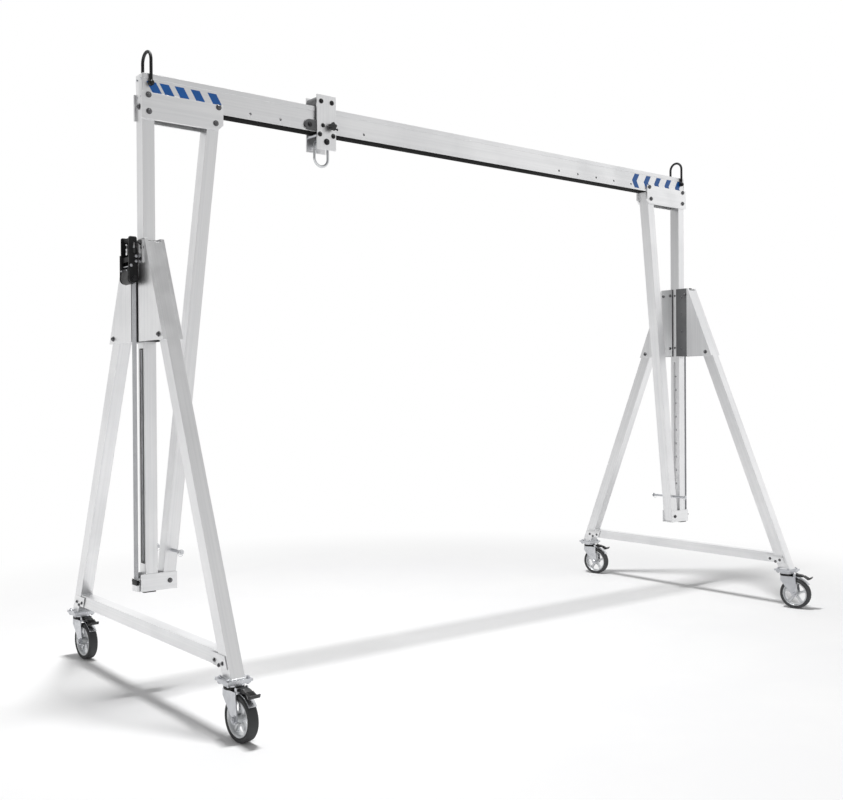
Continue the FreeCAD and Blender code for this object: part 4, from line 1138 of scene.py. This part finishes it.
def bearing_seal():
    """The black skirt round the swivel races, in castor coordinates."""
    skirt = mm((38, 0), (43.5, 0), (45.5, 4), (45.5, 12), (40.5, 14.5), (38, 14.5))
    return join_into(bmesh.new(), lathe(skirt, 56, closed=True), Matrix.Translation((0, 0, 217.2 * MM)))


def make_castors():
    """Tyres, hubs, pedals and trim for the four castors."""
    axle = Vector((TRAIL, 0, WHEEL_RADIUS))
    for end, way in ENDS:
        for name, side in SIDES:
            key = f"{end}_{name}"
            turn = Matrix.Rotation(HEADING[end], 4, "Z")
            place = Matrix.Translation((way * PLANE, side * FOOT_MID, 0)) @ turn
            wheel = place @ basis(axle, Y)
            for label, make, where, body, material, replaced in (
                    ("wheel_tyre", tyre_mesh, wheel, "wheel", "tyre", (key + "_castor_tyre",)),
                    ("wheel_hub", hub_mesh, wheel, "wheel", "cast", (key + "_castor_hub",)),
                    ("pedal_arm", pedal_mesh, place, "pedal", "plastic", (key + "_brake_pedal",)),
                    ("bearing_seal", bearing_seal, place, "swivel", "black_coat", ()),
                    ("brake_shoe", brake_shoe, place, "swivel", "zinc", ())):
                mesh = join_into(bmesh.new(), make(), where)
                piece(f"{key}_{label}", mesh, f"{key}_{body}", material, replaced)
                if label == "pedal_arm":
                    ribs = pedal_ribs()
                    ribs.transform(place)
                    piece_from_data(key + "_pedal_ribs", ribs, key + "_pedal", "plastic")
            nuts = [(place @ (axle + Y * out * 36 * MM), turn @ (Y * out)) for out in (-1, 1)]
            bolts(key + "_axle_nuts", key + "_swivel", nuts, 24 * MM, "zinc", 2 * MM, seed=20)


# --- stage ---

CAMERA_PLACE = (-4.228, -4.875, 1.480)
CAMERA_TURN = (38.45, -0.40, -0.356)
FLOOR_HALF, FLOOR_FADE = 60, (2.2, 4.8)
BRIGHT_WAY, FLAG_WAY = (0.862, 0.507, 0.0), (0.40, -0.42, 0.81)


def make_camera():
    """The camera stands left of the front and a little below half the height."""
    yaw, pitch, roll = map(math.radians, CAMERA_TURN)
    turn = (Matrix.Rotation(-yaw, 4, "Z") @ Matrix.Rotation(math.pi / 2 + pitch, 4, "X")
            @ Matrix.Rotation(roll, 4, "Z"))
    data = bpy.data.cameras.new("camera")
    data.sensor_width, data.lens = 36, 44.12
    camera = put("camera", data)
    camera.matrix_world = Matrix.Translation(CAMERA_PLACE) @ turn
    bpy.context.scene.camera = camera


def make_floor():
    """A plain pale floor that runs out into the white behind it."""
    mesh = bmesh.new()
    bmesh.ops.create_grid(mesh, x_segments=1, y_segments=1, size=FLOOR_HALF)
    data = to_data(mesh, "floor")
    material, tree, sockets = new_material("floor_white", Specular_IOR_Level=0.2)
    dull = place_group(tree, HANDLING, Size=0.8, Low=0.75, High=0.85)
    white, grey = (0.90, 0.90, 0.90), (0.88, 0.88, 0.885)
    feed(sockets["Base Color"], blend_colours(tree, dull["Patches"], grey, white))
    feed(sockets["Roughness"], dull["Roughness"])
    away = vector_maths(tree, "LENGTH", object_place(tree))["Value"]
    glow = add(tree, "ShaderNodeEmission", {"Color": (1, 1, 1, 1), "Strength": 1.0})
    both = add(tree, "ShaderNodeMixShader", {0: ramp(tree, away, *FLOOR_FADE), 2: glow,
                                             1: tree.nodes["Principled BSDF"]})
    feed(tree.nodes["Material Output"].inputs["Surface"], both)
    data.materials.append(material)
    put("floor", data)


def softbox(name, place, target, size, power):
    """A rectangular area light aimed at a point."""
    data = bpy.data.lights.new(name, "AREA")
    data.shape, data.energy = "RECTANGLE", power
    data.size, data.size_y = size
    aim = (Vector(target) - Vector(place)).to_track_quat("-Z", "Y").to_matrix().to_4x4()
    put(name, data).matrix_world = Matrix.Translation(place) @ aim


def make_world():
    """A white studio: bright behind and to the right, greyer at the camera's side."""
    world = bpy.data.worlds.new("studio")
    bpy.context.scene.world = world
    world.use_nodes = True
    tree = world.node_tree
    place = add(tree, "ShaderNodeTexCoord").outputs["Generated"]
    toward, flagged = (vector_maths(tree, "DOT_PRODUCT", place, way)["Value"]
                       for way in (BRIGHT_WAY, FLAG_WAY))
    sides = ramp(tree, toward, -0.42, 0.42, 0.40, 1.10)
    shade = ramp(tree, flagged, 0.92, 0.99, 1.0, 0.10)
    path = add(tree, "ShaderNodeLightPath").outputs
    strength = arithmetic(tree, "MULTIPLY", sides, shade)
    for ray, value in (("Is Diffuse Ray", 0.32), ("Is Camera Ray", 1.0)):
        strength = add(tree, "ShaderNodeMix", {"Factor": path[ray], 2: strength, 3: value},
                       data_type="FLOAT")
    sockets = tree.nodes["Background"].inputs
    feed(sockets["Color"], (1, 1, 1, 1))
    feed(sockets["Strength"], strength)


def make_stage():
    """Camera, floor, lights and the plain colour transform."""
    make_camera()
    make_floor()
    make_world()
    softbox("overhead", (-1.2, -0.1, 10.0), (-1.2, 0.0, 0), (2.0, 0.8), 830)
    bpy.context.scene.view_settings.view_transform = "Standard"


# --- the whole crane ---

for make in (make_stage, finish_nodes, make_chevrons, make_beam_details, make_frame_bolts, make_slot_shade_strips,
             make_cross_pin_ends, make_straps, make_winches, make_head_bolts, make_cover_plates, make_feet,
             make_trolley, make_castors):
    make()

bpy.context.view_layer.update()
